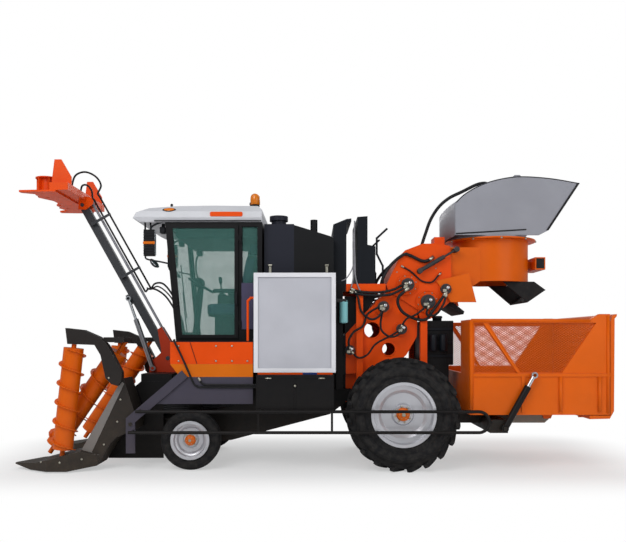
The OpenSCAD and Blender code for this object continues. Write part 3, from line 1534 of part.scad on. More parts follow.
chassis_frame();
rear_axle();
guard_rails();
throat();
feed_housing();
chopper_box();
hydraulic_motors();
extractor_chamber();
deflector_flaps();
side_boxes();
engine_bay();
engine_screens();
engine_block();
engine_hood();
cooler_towers();
cab_shell();
cab_roof();
cab_glass();
cab_interior();
cab_fittings();
side_panels();
side_skirts();
topper_tower();
rear_subframe();
knuckle_left();
knuckle_right();
front_tyre_left();
front_tyre_right();
front_rim_left();
front_rim_right();
rear_tyre_left();
rear_tyre_right();
rear_rim_left();
rear_rim_right();
cab_door();
cab_door_glass();
topper_arm();
topper_link();
topper_head();
topper_drum_left();
topper_drum_right();
topper_barrel();
topper_rod();
divider_left();
divider_right();
outer_scroll_left();
outer_scroll_right();
inner_scroll_left();
inner_scroll_right();
knockdown_roller();
base_cutter_left();
base_cutter_right();
basket();
basket_mesh();
tailgate();
tip_barrels();
tip_rods();
extractor_hood();
extractor_fan();
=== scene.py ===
# %% [markdown]
# # A sugarcane harvester, dressed
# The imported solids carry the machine: every panel, wheel and hinge is already at its place, in metres,
# with forward along -X, the machine's left along -Y and up along +Z. This lesson gives them paint,
# rubber and glass, and adds what is too small or too thin for the solids: hoses, nuts, mesh, seams.

# %% Load the frame
import json

import bpy
import numpy as np
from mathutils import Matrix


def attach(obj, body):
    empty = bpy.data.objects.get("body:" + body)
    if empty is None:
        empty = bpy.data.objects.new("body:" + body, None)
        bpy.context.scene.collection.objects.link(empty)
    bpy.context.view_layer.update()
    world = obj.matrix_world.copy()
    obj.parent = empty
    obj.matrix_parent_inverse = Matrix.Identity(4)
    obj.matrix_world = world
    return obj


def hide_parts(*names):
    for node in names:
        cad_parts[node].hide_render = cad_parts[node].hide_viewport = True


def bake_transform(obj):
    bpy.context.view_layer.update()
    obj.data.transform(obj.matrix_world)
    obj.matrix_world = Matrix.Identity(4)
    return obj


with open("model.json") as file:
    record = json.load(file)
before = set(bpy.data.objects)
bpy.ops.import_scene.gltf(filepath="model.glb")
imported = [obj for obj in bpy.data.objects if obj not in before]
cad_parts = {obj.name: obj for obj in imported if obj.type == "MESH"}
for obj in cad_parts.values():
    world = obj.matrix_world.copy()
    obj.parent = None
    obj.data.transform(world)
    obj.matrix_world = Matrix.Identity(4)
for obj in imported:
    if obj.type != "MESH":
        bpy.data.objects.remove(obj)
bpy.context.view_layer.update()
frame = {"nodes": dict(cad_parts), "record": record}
nodes = frame["nodes"]
MM = 0.001

# %% [markdown]
# ## The stage and the camera
# The photograph looks square at the left side from about ten metres, a little below eye level with the
# cab's seat. A long view with a small upward shift keeps uprights upright, as a product camera does.

# %% Camera at the photograph's place
PHOTO_W, PHOTO_H = 626, 542
FOCAL_PX = 684.0
HORIZON_PX = 338.0
camera_at = (0.0, -9.65, 1.68)

camera = bpy.data.cameras.new("camera")
camera.sensor_width = 36.0
camera.lens = FOCAL_PX / PHOTO_W * camera.sensor_width
camera.shift_y = (HORIZON_PX - PHOTO_H / 2) / PHOTO_W
camera_object = bpy.data.objects.new("camera", camera)
camera_object.location = camera_at
camera_object.rotation_euler = (np.pi / 2, 0.0, 0.0)
bpy.context.scene.collection.objects.link(camera_object)
bpy.context.scene.camera = camera_object
print("lens", round(camera.lens, 1), "mm, shift", round(camera.shift_y, 3))


# %% A mesh from arrays, and colours from hex
def put_mesh(name, points, faces, body, material, smooth=False):
    """Make one object from an (n, 3) array of points and a list of faces, riding on a body."""
    mesh = bpy.data.meshes.new(name)
    mesh.from_pydata(np.asarray(points, float).tolist(), [], faces)
    mesh.polygons.foreach_set("use_smooth", np.full(len(mesh.polygons), smooth))
    mesh.update()
    mesh.materials.append(material)
    piece = bpy.data.objects.new(name, mesh)
    bpy.context.scene.collection.objects.link(piece)
    if body:
        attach(piece, body)
    return piece


def linear(hex_colour):
    """Turn an sRGB hex colour into the linear RGBA that shaders use: each channel c becomes
    c / 12.92 near black and ((c + 0.055) / 1.055) to the power 2.4 above it."""
    channel = np.array([int(hex_colour[i:i + 2], 16) for i in (1, 3, 5)]) / 255.0
    value = np.where(channel <= 0.04045, channel / 12.92, ((channel + 0.055) / 1.055) ** 2.4)
    return (*value.tolist(), 1.0)


# %% Shader nodes
def add(tree, kind, inputs=(), **settings):
    """Add one shader node, set its own settings, then fill or link its inputs from (name, value) pairs."""
    node = tree.nodes.new(kind)
    for key, value in settings.items():
        setattr(node, key, value)
    for key, value in inputs:
        if isinstance(value, bpy.types.NodeSocket):
            tree.links.new(value, node.inputs[key])
        else:
            node.inputs[key].default_value = value
    return node


def new_material(name):
    """An empty node material; returns it with its tree and the socket of its Object coordinates."""
    material = bpy.data.materials.new(name)
    material.use_nodes = True
    tree = material.node_tree
    tree.nodes.clear()
    return material, tree, add(tree, "ShaderNodeTexCoord").outputs["Object"]


def coat(tree, inputs):
    """Close a material with one Principled shader."""
    shader = add(tree, "ShaderNodeBsdfPrincipled", inputs)
    add(tree, "ShaderNodeOutputMaterial", [("Surface", shader.outputs[0])])


def noise(tree, place, size_mm, detail, rough=0.5):
    """Noise with features about this many millimetres across, on coordinates in metres."""
    return add(tree, "ShaderNodeTexNoise", [("Vector", place), ("Scale", 1.0 / (size_mm * MM)), ("Detail", detail),
                                            ("Roughness", rough)]).outputs[0]


def remap(tree, value, low, high, to_low, to_high):
    """A value carried in a straight line from one range to another, and held at the ends."""
    return add(tree, "ShaderNodeMapRange", [("Value", value), ("From Min", low), ("From Max", high),
                                            ("To Min", to_low), ("To Max", to_high)]).outputs[0]


def mixed(tree, amount, first, second):
    """A colour between two others."""
    return add(tree, "ShaderNodeMix", [(0, amount), (6, first), (7, second)], data_type="RGBA").outputs[2]


def sum_of(tree, operation, first, second):
    """One sum on two numbers, such as MULTIPLY."""
    return add(tree, "ShaderNodeMath", [(0, first), (1, second)], operation=operation).outputs[0]


def vector_sum(tree, operation, *values):
    """One sum on vectors, such as SUBTRACT."""
    return add(tree, "ShaderNodeVectorMath", list(enumerate(values)), operation=operation).outputs


# %% [markdown]
# ## Floor, backdrop and light
# A pale floor takes the machine's shadow, lightened for the camera, and melts into a white world: past a metre
# or so around the machine the camera sees plain white, so no horizon shows. Big area lamps give the soft, even
# light of a studio: one broad key from above the camera, a fill from the rear and a rim behind.

# %% Floor, world and lamps
FOOTPRINT = (3.6, 1.1, 0.0)                        # half length and width of the machine, in metres
FADE_FROM, FADE_TO, FADE_LEAST = 0.05, 1.5, 0.45   # metres past the footprint, and the white already there
FLOOR_HALF = 60.0
AMBIENT, BACKDROP = 0.45, 1.0
floor_material, tree, place = new_material("studio_floor")
lit = add(tree, "ShaderNodeBsdfPrincipled", [("Base Color", linear("#F4F4F4")), ("Roughness", 0.9)])
white = add(tree, "ShaderNodeEmission", [("Color", linear("#FFFFFF")), ("Strength", 1.0)])
past = vector_sum(tree, "SUBTRACT", vector_sum(tree, "ABSOLUTE", place)[0], FOOTPRINT)[0]
reach = vector_sum(tree, "LENGTH", vector_sum(tree, "MAXIMUM", past, (0.0, 0.0, 0.0))[0])["Value"]
fade = add(tree, "ShaderNodeMapRange", [("Value", reach), ("From Min", FADE_FROM), ("From Max", FADE_TO),
                                        ("To Min", FADE_LEAST)], interpolation_type="SMOOTHSTEP")
camera_ray = add(tree, "ShaderNodeLightPath").outputs["Is Camera Ray"]
seen = sum_of(tree, "MULTIPLY", fade.outputs[0], camera_ray)
mix = add(tree, "ShaderNodeMixShader", [("Fac", seen), (1, lit.outputs[0]), (2, white.outputs[0])])
add(tree, "ShaderNodeOutputMaterial", [("Surface", mix.outputs[0])])
corners = np.array([[-1, -1, 0], [1, -1, 0], [1, 1, 0], [-1, 1, 0]]) * FLOOR_HALF
floor = put_mesh("studio_floor", corners, [[0, 1, 2, 3]], None, floor_material)

world = bpy.data.worlds.new("studio")
world.use_nodes = True
tree = world.node_tree
tree.nodes.clear()
ray = add(tree, "ShaderNodeLightPath").outputs
seen = sum_of(tree, "MAXIMUM", ray["Is Camera Ray"], ray["Is Transmission Ray"])
ambient = add(tree, "ShaderNodeBackground", [("Color", linear("#F2F4F6")), ("Strength", AMBIENT)])
backdrop = add(tree, "ShaderNodeBackground", [("Color", linear("#FFFFFF")), ("Strength", BACKDROP)])
mix = add(tree, "ShaderNodeMixShader", [("Fac", seen), (1, ambient.outputs[0]), (2, backdrop.outputs[0])])
add(tree, "ShaderNodeOutputWorld", [("Surface", mix.outputs[0])])
bpy.context.scene.world = world

LAMPS = {
    # name: place, aim, width, power
    "key": ((-4.5, -9.0, 9.0), (0.0, 0.0, 1.5), 7.0, 620.0),
    "fill": ((7.0, -8.0, 4.5), (1.0, 0.0, 1.5), 6.0, 220.0),
    "rim": ((2.0, 8.0, 8.0), (0.0, 0.0, 2.0), 6.0, 320.0),
}
for lamp_name, (place, aim, width, power) in LAMPS.items():
    lamp = bpy.data.lights.new(lamp_name, "AREA")
    lamp.size = width
    lamp.energy = power
    lamp_object = bpy.data.objects.new(lamp_name, lamp)
    lamp_object.location = place
    towards = np.array(aim) - np.array(place)
    lamp_object.rotation_euler = (np.arctan2(np.hypot(towards[0], towards[1]), -towards[2]), 0.0,
                                  np.arctan2(towards[1], towards[0]) - np.pi / 2)
    bpy.context.scene.collection.objects.link(lamp_object)
bpy.context.scene.view_settings.view_transform = "Standard"
print("lamps", list(LAMPS))

# %% [markdown]
# ## Enamel on welded steel
# Farm machines are sprayed with a thick two-pack enamel over welded plate. It is fairly glossy with a faint
# orange-peel skin, a little uneven in tone, dusty low down and rubbed to primer along the edges. The edges
# are found by bending the surface normal with a Bevel node and asking how far it has turned: it is a trick
# that needs no extra geometry, and it gives each cut plate the small round edge that catches light.

# %% One recipe for all the sprayed finishes
DUST = "#8C7B64"
PEEL_MM, BLOTCH_MM, CHIP_MM, GRIT_MM = 5.0, 420.0, 14.0, 95.0   # orange peel, tone patches, chips and dust


def enamel(name, colour, rough=0.36, primer="#6B625C", wear=0.55, dust=0.14, dust_top=1.3, round_mm=5.0,
           shine=0.22, front=None, metal=0.0):
    """Sprayed enamel: tone = noise between 0.84 and 1.10 of the colour; dust fades from the ground up to
    dust_top metres; wear = (1 - bent normal . flat normal) times a chip noise, showing the primer.
    A front colour, where given as (colour, x), takes over ahead of that x in metres."""
    material, tree, place = new_material(name)
    base = np.array(linear(colour))
    tone = mixed(tree, noise(tree, place, BLOTCH_MM, 4.0), tuple(base * [0.84, 0.84, 0.84, 1]),
                 tuple(np.minimum(base * [1.10, 1.10, 1.10, 1], 1.0)))
    axes = add(tree, "ShaderNodeSeparateXYZ", [(0, place)]).outputs
    if front:
        tone = mixed(tree, sum_of(tree, "LESS_THAN", axes["X"], front[1]), tone, linear(front[0]))
    low = remap(tree, axes["Z"], 0.1, dust_top, dust, dust * 0.08)
    grit = noise(tree, place, GRIT_MM, 6.0, 0.65)
    soiled = mixed(tree, sum_of(tree, "MULTIPLY", low, grit), tone, linear(DUST))
    bent = add(tree, "ShaderNodeBevel", [("Radius", round_mm * MM)], samples=4).outputs[0]
    flat = add(tree, "ShaderNodeNewGeometry").outputs["Normal"]
    edge = remap(tree, vector_sum(tree, "DOT_PRODUCT", bent, flat)["Value"], 0.985, 0.86, 0.0, wear)
    chipped = remap(tree, noise(tree, place, CHIP_MM, 5.0), 0.44, 0.62, 0.0, 1.0)
    shade = mixed(tree, sum_of(tree, "MULTIPLY", edge, chipped), soiled, linear(primer))
    peel = add(tree, "ShaderNodeBump", [("Height", noise(tree, place, PEEL_MM, 1.0)), ("Strength", 0.05),
                                        ("Distance", 0.5 * MM), ("Normal", bent)])
    coat(tree, [("Base Color", shade), ("Roughness", remap(tree, grit, 0.3, 0.7, rough - 0.05, rough + 0.12)),
                ("Normal", peel.outputs[0]), ("Specular IOR Level", shine), ("Coat Weight", 0.03),
                ("Coat Roughness", 0.25), ("Metallic", metal)])
    return material


orange_enamel = enamel("orange_enamel", "#E64C02", shine=0.14)
amber_enamel = enamel("amber_enamel", "#D66A06", shine=0.14)
basket_enamel = enamel("basket_enamel", "#DE6002", shine=0.14)
black_enamel = enamel("black_enamel", "#0E0E11", rough=0.42, primer="#4A4744", dust=0.07, shine=0.16)
navy_enamel = enamel("navy_enamel", "#10141B", rough=0.45, primer="#3C3E42", dust=0.04, shine=0.16)
bonnet_enamel = enamel("bonnet_enamel", "#0F1013", rough=0.46, primer="#3C3E42", dust=0.04, shine=0.18,
                       front=("#20222D", -0.2485))
hood_enamel = enamel("grey_hood_enamel", "#93949C", rough=0.46, primer="#5D5C60")
skirt_enamel = enamel("slate_skirt_enamel", "#413E4C", rough=0.5, primer="#77737A")
shoe_enamel = enamel("divider_shoe_enamel", "#221E1D", rough=0.55, primer="#8C8886", wear=0.9, dust=0.2)
# Topper tower: the machine's orange with painted shade in it, darkened to a red-orange.
shaded_tower_enamel = enamel("painted_shade_tower_enamel", "#B4330F")
rim_enamel = enamel("silver_rim_enamel", "#CDCED4", rough=0.34, primer="#77757A", dust=0.18, metal=0.7)
subframe_enamel = enamel("grey_subframe_enamel", "#85837A", rough=0.5, dust=0.2, front=("#0E0E11", 2.62))
duct_enamel = enamel("orange_duct_enamel", "#E64C02", shine=0.14, front=("#131215", 0.44))
cap_enamel = enamel("hub_cap_enamel", "#DD6606", rough=0.34)
roof_gelcoat = enamel("roof_gelcoat", "#CCCDD2", rough=0.3, primer="#B4B4B8", wear=0.15, round_mm=12.0)
screen_enamel = enamel("pale_screen_enamel", "#BCBDC5", rough=0.5, primer="#8D8D92", wear=0.3)
print("enamels", len([m for m in bpy.data.materials if "enamel" in m.name]))

# %% [markdown]
# ## Rubber, steel, plastic and glass
# Tyres are moulded carbon-black rubber, matt with a grey bloom of dust in the hollows. Rods are ground and
# chromed, blades are bare rolled steel with long scratches, the cab is trimmed in grained plastic, and the
# panes are green-tinted safety glass. Each starts from the usual numbers for its material.

# %% Rubber, metals and plastic
RUST_MM = 130.0                                    # patches of brown


def moulded(name, colour, rough, grain_mm, grain_depth_mm, tint, tint_amount, bloom_mm=70.0, metal=0.0):
    """Moulded or cast surface: colour moves towards a tint by noise of bloom_mm, with a noise grain as bump."""
    material, tree, place = new_material(name)
    bloom = noise(tree, place, bloom_mm, 6.0, 0.6)
    shade = mixed(tree, remap(tree, bloom, 0.38, 0.72, 0.0, tint_amount), linear(colour), linear(tint))
    bent = add(tree, "ShaderNodeBevel", [("Radius", 4.0 * MM)], samples=4)
    grain = add(tree, "ShaderNodeBump", [("Height", noise(tree, place, grain_mm, 2.0)), ("Strength", 0.5),
                                         ("Distance", grain_depth_mm * MM), ("Normal", bent.outputs[0])])
    coat(tree, [("Base Color", shade), ("Normal", grain.outputs[0]), ("Specular IOR Level", 0.25),
                ("Roughness", remap(tree, bloom, 0.0, 1.0, rough - 0.08, min(rough + 0.1, 1.0))), ("Metallic", metal)])
    return material


def rolled_steel(name, colour, rough, scratch_mm, rust="#6A4A34", rust_amount=0.25):
    """Bare steel: a stretched noise draws scratches scratch_mm wide along X, and patches of brown dull it."""
    material, tree, place = new_material(name)
    drawn = add(tree, "ShaderNodeMapping", [("Vector", place), ("Scale", (0.06, 1.0, 1.0))])
    scratch = noise(tree, drawn.outputs[0], scratch_mm, 3.0)
    brown = remap(tree, noise(tree, place, RUST_MM, 6.0), 0.5, 0.7, 0.0, rust_amount)
    bump = add(tree, "ShaderNodeBump", [("Height", scratch), ("Strength", 0.25), ("Distance", 0.2 * MM)])
    coat(tree, [("Base Color", mixed(tree, brown, linear(colour), linear(rust))), ("Normal", bump.outputs[0]),
                ("Roughness", remap(tree, scratch, 0.3, 0.7, max(rough - 0.1, 0.04), rough + 0.12)), ("Metallic", 1.0)])
    return material


tyre_rubber = moulded("tyre_rubber", "#121215", 0.78, 3.0, 0.3, "#4A4641", 0.35)
hose_rubber = moulded("hose_rubber", "#131316", 0.55, 4.0, 0.2, "#3B3A3A", 0.25, 45.0)
flap_rubber = moulded("flap_rubber", "#141416", 0.7, 6.0, 0.5, "#3E3A36", 0.3)
cab_plastic = moulded("grained_cab_plastic", "#1B1C20", 0.62, 2.5, 0.25, "#3C3D42", 0.4, 160.0)
cast_iron = moulded("cast_iron", "#3C3D40", 0.6, 7.0, 0.6, "#5A5048", 0.4, metal=0.5)
chrome_rod = rolled_steel("chromed_rod", "#C9CCD0", 0.14, 2.0, rust_amount=0.05)
blade_steel = rolled_steel("rolled_blade_steel", "#8F9094", 0.36, 3.0)
zinc_steel = rolled_steel("zinc_plated_steel", "#B5B2A4", 0.34, 2.0, "#8A7A5C", 0.3)
print("surfaces", len(bpy.data.materials))


# %% Safety glass and lenses
def glazing(name, colour, clear, rough=0.04, smear_mm=180.0):
    """Thin pane: the tint shows by 1 - clear, with a faint smear of dust in the roughness."""
    material, tree, place = new_material(name)
    smear = noise(tree, place, smear_mm, 5.0)
    coat(tree, [("Base Color", linear(colour)), ("Roughness", remap(tree, smear, 0.0, 1.0, rough, rough + 0.1)),
                ("Alpha", remap(tree, smear, 0.3, 0.75, 1.0 - clear, 1.06 - clear)), ("IOR", 1.5)])
    return material


cab_glazing = glazing("green_safety_glass", "#4E8078", 0.72)
mirror_glass = rolled_steel("mirror_silver", "#C8CDD2", 0.06, 60.0, rust_amount=0.0)
amber_lens = glazing("amber_lens", "#E07A08", 0.06, 0.14, 30.0)
red_lens = glazing("red_lens", "#B3140E", 0.06, 0.14, 30.0)
clear_lens = glazing("clear_lens", "#DDE2E6", 0.35, 0.08, 30.0)
teal_enamel = enamel("teal_filter_enamel", "#8FD3D8", rough=0.4)
print("materials", len(bpy.data.materials))

# %% [markdown]
# ## Dressing the solids
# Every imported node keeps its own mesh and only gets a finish. The table reads as the machine does:
# orange where the cane goes, black for what carries it, pale roof and screens, grey hood.

# %% Finish of each node
FINISH = {
    "black_paint": black_enamel, "orange_paint": orange_enamel, "basket_paint": basket_enamel,
    "grey_paint": hood_enamel, "pale_paint": roof_gelcoat, "rim_paint": rim_enamel, "skirt_paint": skirt_enamel,
    "divider_paint": shoe_enamel, "tower_paint": shaded_tower_enamel, "flap_rubber": flap_rubber,
    "tyre_rubber": tyre_rubber, "window_glass": cab_glazing, "cab_plastic": cab_plastic,
    "bare_steel": blade_steel, "rod_chrome": chrome_rod, "engine_iron": cast_iron,
}
OTHER_FINISH = {
    "engine_screens": screen_enamel, "feed_housing": duct_enamel, "outer_scroll_left": basket_enamel,
    "outer_scroll_right": basket_enamel, "inner_scroll_left": basket_enamel, "inner_scroll_right": basket_enamel,
    "side_panels": amber_enamel, "engine_hood": bonnet_enamel,
    "cooler_towers": navy_enamel, "hydraulic_motors": cast_iron, "rear_subframe": subframe_enamel,
}
for row in frame["record"]["subparts"]:
    finish = OTHER_FINISH.get(row["node"], FINISH[row["material_slot"]])
    node_object = nodes[row["node"]]
    for slot in node_object.material_slots:
        slot.material = finish
    if not node_object.material_slots:
        node_object.data.materials.append(finish)

# %% [markdown]
# ## Shapes from rings
# Nearly every small part of the machine is a section carried along something: a hose is a circle along a
# curve, a cap is a circle along its own axis, a bolt is a hexagon. So one function skins a stack of rings,
# and short functions lay out the rings as whole arrays.

# %% Rings, paths and sections
LEFT, UP = (0, -1, 0), (0, 0, 1)


def mm(*values):
    """Millimetres to metres, as an array."""
    return np.array(values, float) * MM


def unit(vectors):
    """Each vector divided by its own length."""
    return vectors / np.linalg.norm(vectors, axis=-1, keepdims=True)


def skin(rings, ends=True):
    """Quads between neighbouring rings of an (m, n, 3) array, with a flat face on the first and last."""
    index = np.arange(rings.shape[0] * rings.shape[1]).reshape(rings.shape[:2])
    beside = np.roll(index, -1, axis=1)
    quads = np.stack([index[:-1], beside[:-1], beside[1:], index[1:]], axis=-1).reshape(-1, 4)
    caps = [index[0][::-1].tolist(), index[-1].tolist()] if ends else []
    return rings.reshape(-1, 3), quads.tolist() + caps


def curve_through(points, per_span=8):
    """Catmull-Rom curve: on each span, half of (2 b + (c - a) t + (2a - 5b + 4c - d) t2 + (3b - a - 3c + d) t3)."""
    knots = np.asarray(points, float)
    padded = np.vstack([2 * knots[0] - knots[1], knots, 2 * knots[-1] - knots[-2]])
    a, b, c, d = (padded[i:len(padded) - 3 + i, None, :] for i in range(4))
    t = np.linspace(0, 1, per_span, endpoint=False)[None, :, None]
    spans = 0.5 * (2 * b + (c - a) * t + (2 * a - 5 * b + 4 * c - d) * t ** 2 + (3 * b - a - 3 * c + d) * t ** 3)
    return np.vstack([spans.reshape(-1, 3), knots[-1]])


def tube(points, radius, sides=10, straight=False):
    """Circle carried along a curve, in millimetres: centre + r (cos a * u + sin a * v), where v leans to the
    normal of the plane that fits the curve best, so the section never twists."""
    knots = mm(*np.ravel(points)).reshape(-1, 3)
    path = knots if straight else curve_through(knots)
    along = unit(np.gradient(path, axis=0))
    plane_normal = np.linalg.svd(path - path.mean(axis=0))[2][-1]
    v = unit(plane_normal - (along @ plane_normal)[:, None] * along)
    u = np.cross(v, along)
    angle = np.linspace(0, 2 * np.pi, sides, endpoint=False)[None, :, None]
    return skin(path[:, None] + radius * MM * (np.cos(angle) * u[:, None] + np.sin(angle) * v[:, None]))


def turned(profile, foot, axis, sides=24, ends=True):
    """Surface of revolution, in millimetres: foot + h * axis + r (cos a * u + sin a * v) for each (r, h) of the
    profile, where u and v are two unit vectors across the axis."""
    axis = unit(np.asarray(axis, float))
    u = unit(np.cross(np.eye(3)[np.argmin(np.abs(axis))], axis))
    v = np.cross(axis, u)
    r, h = mm(*np.ravel(profile)).reshape(-1, 2).T[:, :, None, None]
    angle = np.linspace(0, 2 * np.pi, sides, endpoint=False)[None, :, None]
    return skin(mm(*foot) + h * axis + r * (np.cos(angle) * u + np.sin(angle) * v), ends)


def side_plate(outline, y_low, y_high, edge=2):
    """Outline of (x, z) places carried along Y, with its rim drawn in by the edge at both faces; millimetres."""
    flat = mm(*np.ravel(outline)).reshape(-1, 2)
    y_low, y_high, edge = mm(y_low, y_high, edge)
    x, z = flat.T
    flat = flat if np.sum(z * np.roll(x, -1) - np.roll(z, -1) * x) > 0 else flat[::-1]
    small = flat - edge * unit(flat - flat.mean(axis=0))
    stations = [(small, y_low), (flat, y_low + edge), (flat, y_high - edge), (small, y_high)]
    return skin(np.stack([np.column_stack([ring[:, 0], np.full(len(ring), y), ring[:, 1]]) for ring, y in stations]))


def slab(x_low, x_high, z_low, z_high, y_low, y_high, edge=2):
    """A side plate whose outline is a rectangle."""
    return side_plate((x_low, z_low, x_high, z_low, x_high, z_high, x_low, z_high), y_low, y_high, edge)


def soft_box(low, high, edge):
    """Box with rounded uprights and drawn-in ends: a rounded rectangle carried up Z in four rings; millimetres."""
    low, high, edge = mm(*low), mm(*high), edge * MM
    turn = np.arange(4)[:, None] * np.pi / 2 + np.linspace(0, np.pi / 2, 4)
    corner = np.array([[1, 1], [0, 1], [0, 0], [1, 0]])[:, None, :]
    span = (high - low)[:2]
    centre = low[:2] + edge + corner * (span - 2 * edge)
    outline = (centre + edge * np.stack([np.cos(turn), np.sin(turn)], axis=-1)).reshape(-1, 2)
    middle = (low + high)[:2] / 2
    small = middle + (outline - middle) * (1 - 2 * edge / span)
    rings = [(small, low[2]), (outline, low[2] + edge), (outline, high[2] - edge), (small, high[2])]
    return skin(np.stack([np.column_stack([ring, np.full(len(ring), z)]) for ring, z in rings]))


def dome(place, normal, r, high, sides=24, stretch=(1, 1, 1)):
    """Low dome on a surface, in millimetres: a quarter ellipse turned about the normal, stretched along the axes."""
    bend = np.linspace(0, np.pi / 2 - 0.05, 6)
    profile = np.vstack([[[r, -3.0]], np.column_stack([r * np.cos(bend), high * np.sin(bend)])])
    points, faces = turned(profile, (0, 0, 0), normal, sides)
    return points * np.asarray(stretch, float) + mm(*place), faces


def bead(middle, r, wide, high, sink=0.0, steps=7, sides=64):
    """Half-round ring about an axis along -Y: radius r + wide cos a, height high sin a - sink, open at the back."""
    bend = np.linspace(0, np.pi, steps)
    profile = np.column_stack([r + wide * np.cos(bend), high * np.sin(bend) - sink])
    return turned(profile, middle, LEFT, sides, False)


# %% Joining, mirroring and placing
def join(shapes):
    """One shape from several: faces are shifted by the number of points before them."""
    starts = np.cumsum([0] + [len(points) for points, _ in shapes])
    faces = [[corner + int(start) for corner in face]
             for start, (_, shape_faces) in zip(starts, shapes) for face in shape_faces]
    return np.concatenate([points for points, _ in shapes]), faces


def mirrored(shape):
    """The same shape on the machine's other side: y changes sign and each face is read backwards."""
    return shape[0] * [1, -1, 1], [list(reversed(face)) for face in shape[1]]


def both(shape):
    """A shape on the left and its mirror on the right."""
    return join([shape, mirrored(shape)])


def piece(name, shape, material, smooth=False, body="chassis"):
    """Put a finished shape on a body: the chassis, unless another is named."""
    return put_mesh(name, shape[0], shape[1], body, material, smooth)


def on_twins(twin, name, shape, material, smooth=False):
    """One piece on a left body, and its mirror on the right one."""
    piece(f"{twin}_left_{name}", shape, material, smooth, f"{twin}_left")
    piece(f"{twin}_right_{name}", mirrored(shape), material, smooth, f"{twin}_right")


def on_surface(node, starts, direction):
    """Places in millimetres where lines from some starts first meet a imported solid, with its normals there;
    a line that misses is left out."""
    rows = [nodes[node].ray_cast(mm(*start).tolist(), direction) for start in starts]
    return [(np.array(place) / MM, np.array(normal)) for found, place, normal, _ in rows if found]


print("shape tools ready")

# %% [markdown]
# ## Wheels
# Each wheel is a pressed disc bolted to its hub. The solids have the disc and the hub, and what is missing
# is what the eye looks for first: the ring of nuts, the painted hub cap and its studs, and the ribs that a
# mould leaves round a tyre's shoulder. All of it turns with its wheel.

# %% Nuts, caps, studs and sidewall ribs
WHEELS = {
    "rear_wheel": {"x": 1137, "z": 715, "face": 1019, "cap": 1075, "cap_r": 76, "nut_r": 101, "nuts": 8, "rim": 410,
                   "rib": 560},
    "front_wheel": {"x": -1561, "z": 380, "face": 934, "cap": 980, "cap_r": 60, "nut_r": 73, "nuts": 6, "rim": 247,
                    "rib": 318},
}
NUT_R, NUT_H = 11.0, 16.0
NUT = (NUT_R * 1.5, 0.5, NUT_R * 1.5, 3, NUT_R, 3.5, NUT_R, NUT_H, NUT_R * 0.7, NUT_H + 2, NUT_R * 0.45, NUT_H + 2,
       NUT_R * 0.45, NUT_H + 9)


def around(x, y, z, r, count, start=0.0):
    """Places spaced by equal angles on a circle across Y."""
    angle = np.arange(count) * 2 * np.pi / count + start
    return np.column_stack([x + r * np.cos(angle), np.full(count, float(y)), z + r * np.sin(angle)])


def hub_cap(wheel):
    """Domed cap turned about the axle: a short wall, then a quarter ellipse to the middle."""
    bend = np.linspace(0, np.pi / 2 - 0.03, 8)
    r, high = wheel["cap_r"] + 3, wheel["cap"] - wheel["face"]
    bow = np.column_stack([r * np.cos(bend), 0.72 * high + 8 + (0.28 * high + 6) * np.sin(bend)])
    profile = np.vstack([[[r + 7, 1], [r + 7, 6], [r, 8]], bow])
    return turned(profile, (wheel["x"], -wheel["face"], wheel["z"]), LEFT, 40)


for wheel_name, wheel in WHEELS.items():
    x, z, face, cap, cap_r = (wheel[key] for key in ("x", "z", "face", "cap", "cap_r"))
    on_twins(wheel_name, "hub_cap", hub_cap(wheel), cap_enamel, True)
    nuts = [turned(NUT, place, LEFT, 6) for place in around(x, -face, z, wheel["nut_r"], wheel["nuts"], 0.2)]
    on_twins(wheel_name, "nuts", join(nuts), zinc_steel)
    studs = [dome(place, LEFT, 7, 8, 6) for place in around(x, -cap - 3, z, 0.68 * cap_r, 6)]
    centre = dome((x, -cap - 12, z), LEFT, 0.34 * cap_r, 10, 24)
    on_twins(wheel_name, "hub_studs", join(studs + [centre]), zinc_steel, True)
    ribs = []
    for r in (wheel["rib"], wheel["rib"] - 26, wheel["rim"] + 38):
        place, _ = on_surface(wheel_name.replace("wheel", "tyre_left"), [(x, -3000, z - r)], (0, 1, 0))[0]
        ribs.append(bead((x, place[1], z), r, 5, 3.5, 1, 6, 72))
    on_twins(wheel_name, "sidewall_ribs", join(ribs), tyre_rubber, True)
print("wheels dressed")

# %% [markdown]
# ## Expanded metal in the basket's windows
# The basket keeps billets in and lets trash out through sheets of expanded metal. One sheet is two families
# of parallel strands that cross at a slant. Each strand is clipped to its window, and because a window is
# convex, a whole family can be clipped at once: a strand enters and leaves by the tightest of its four edges.


# %% Strands clipped to a window
def clip_family(corners, slope, pitch):
    """Ends of parallel lines inside a convex window: on each edge the crossing is t = -(distance) / (rate),
    the entry is the largest t where the line goes in, and the exit the smallest where it goes out."""
    corners = np.asarray(corners, float)
    along = np.array([np.cos(slope), np.sin(slope)])
    across = np.array([-along[1], along[0]])
    reach = corners @ across
    foot = np.arange(reach.min() + pitch / 2, reach.max(), pitch)[:, None] * across
    edge = np.roll(corners, -1, axis=0) - corners
    inward = np.column_stack([-edge[:, 1], edge[:, 0]])
    inward *= np.sign(np.sum(inward * (corners.mean(axis=0) - corners), axis=1))[:, None]
    rate = inward @ along
    crossing = -np.einsum("nec,ec->ne", foot[:, None] - corners[None], inward) / rate
    enter = np.where(rate > 0, crossing, -np.inf).max(axis=1)
    leave = np.where(rate < 0, crossing, np.inf).min(axis=1)
    keep = leave - enter > 0.01
    return (foot + enter[:, None] * along)[keep], (foot + leave[:, None] * along)[keep]


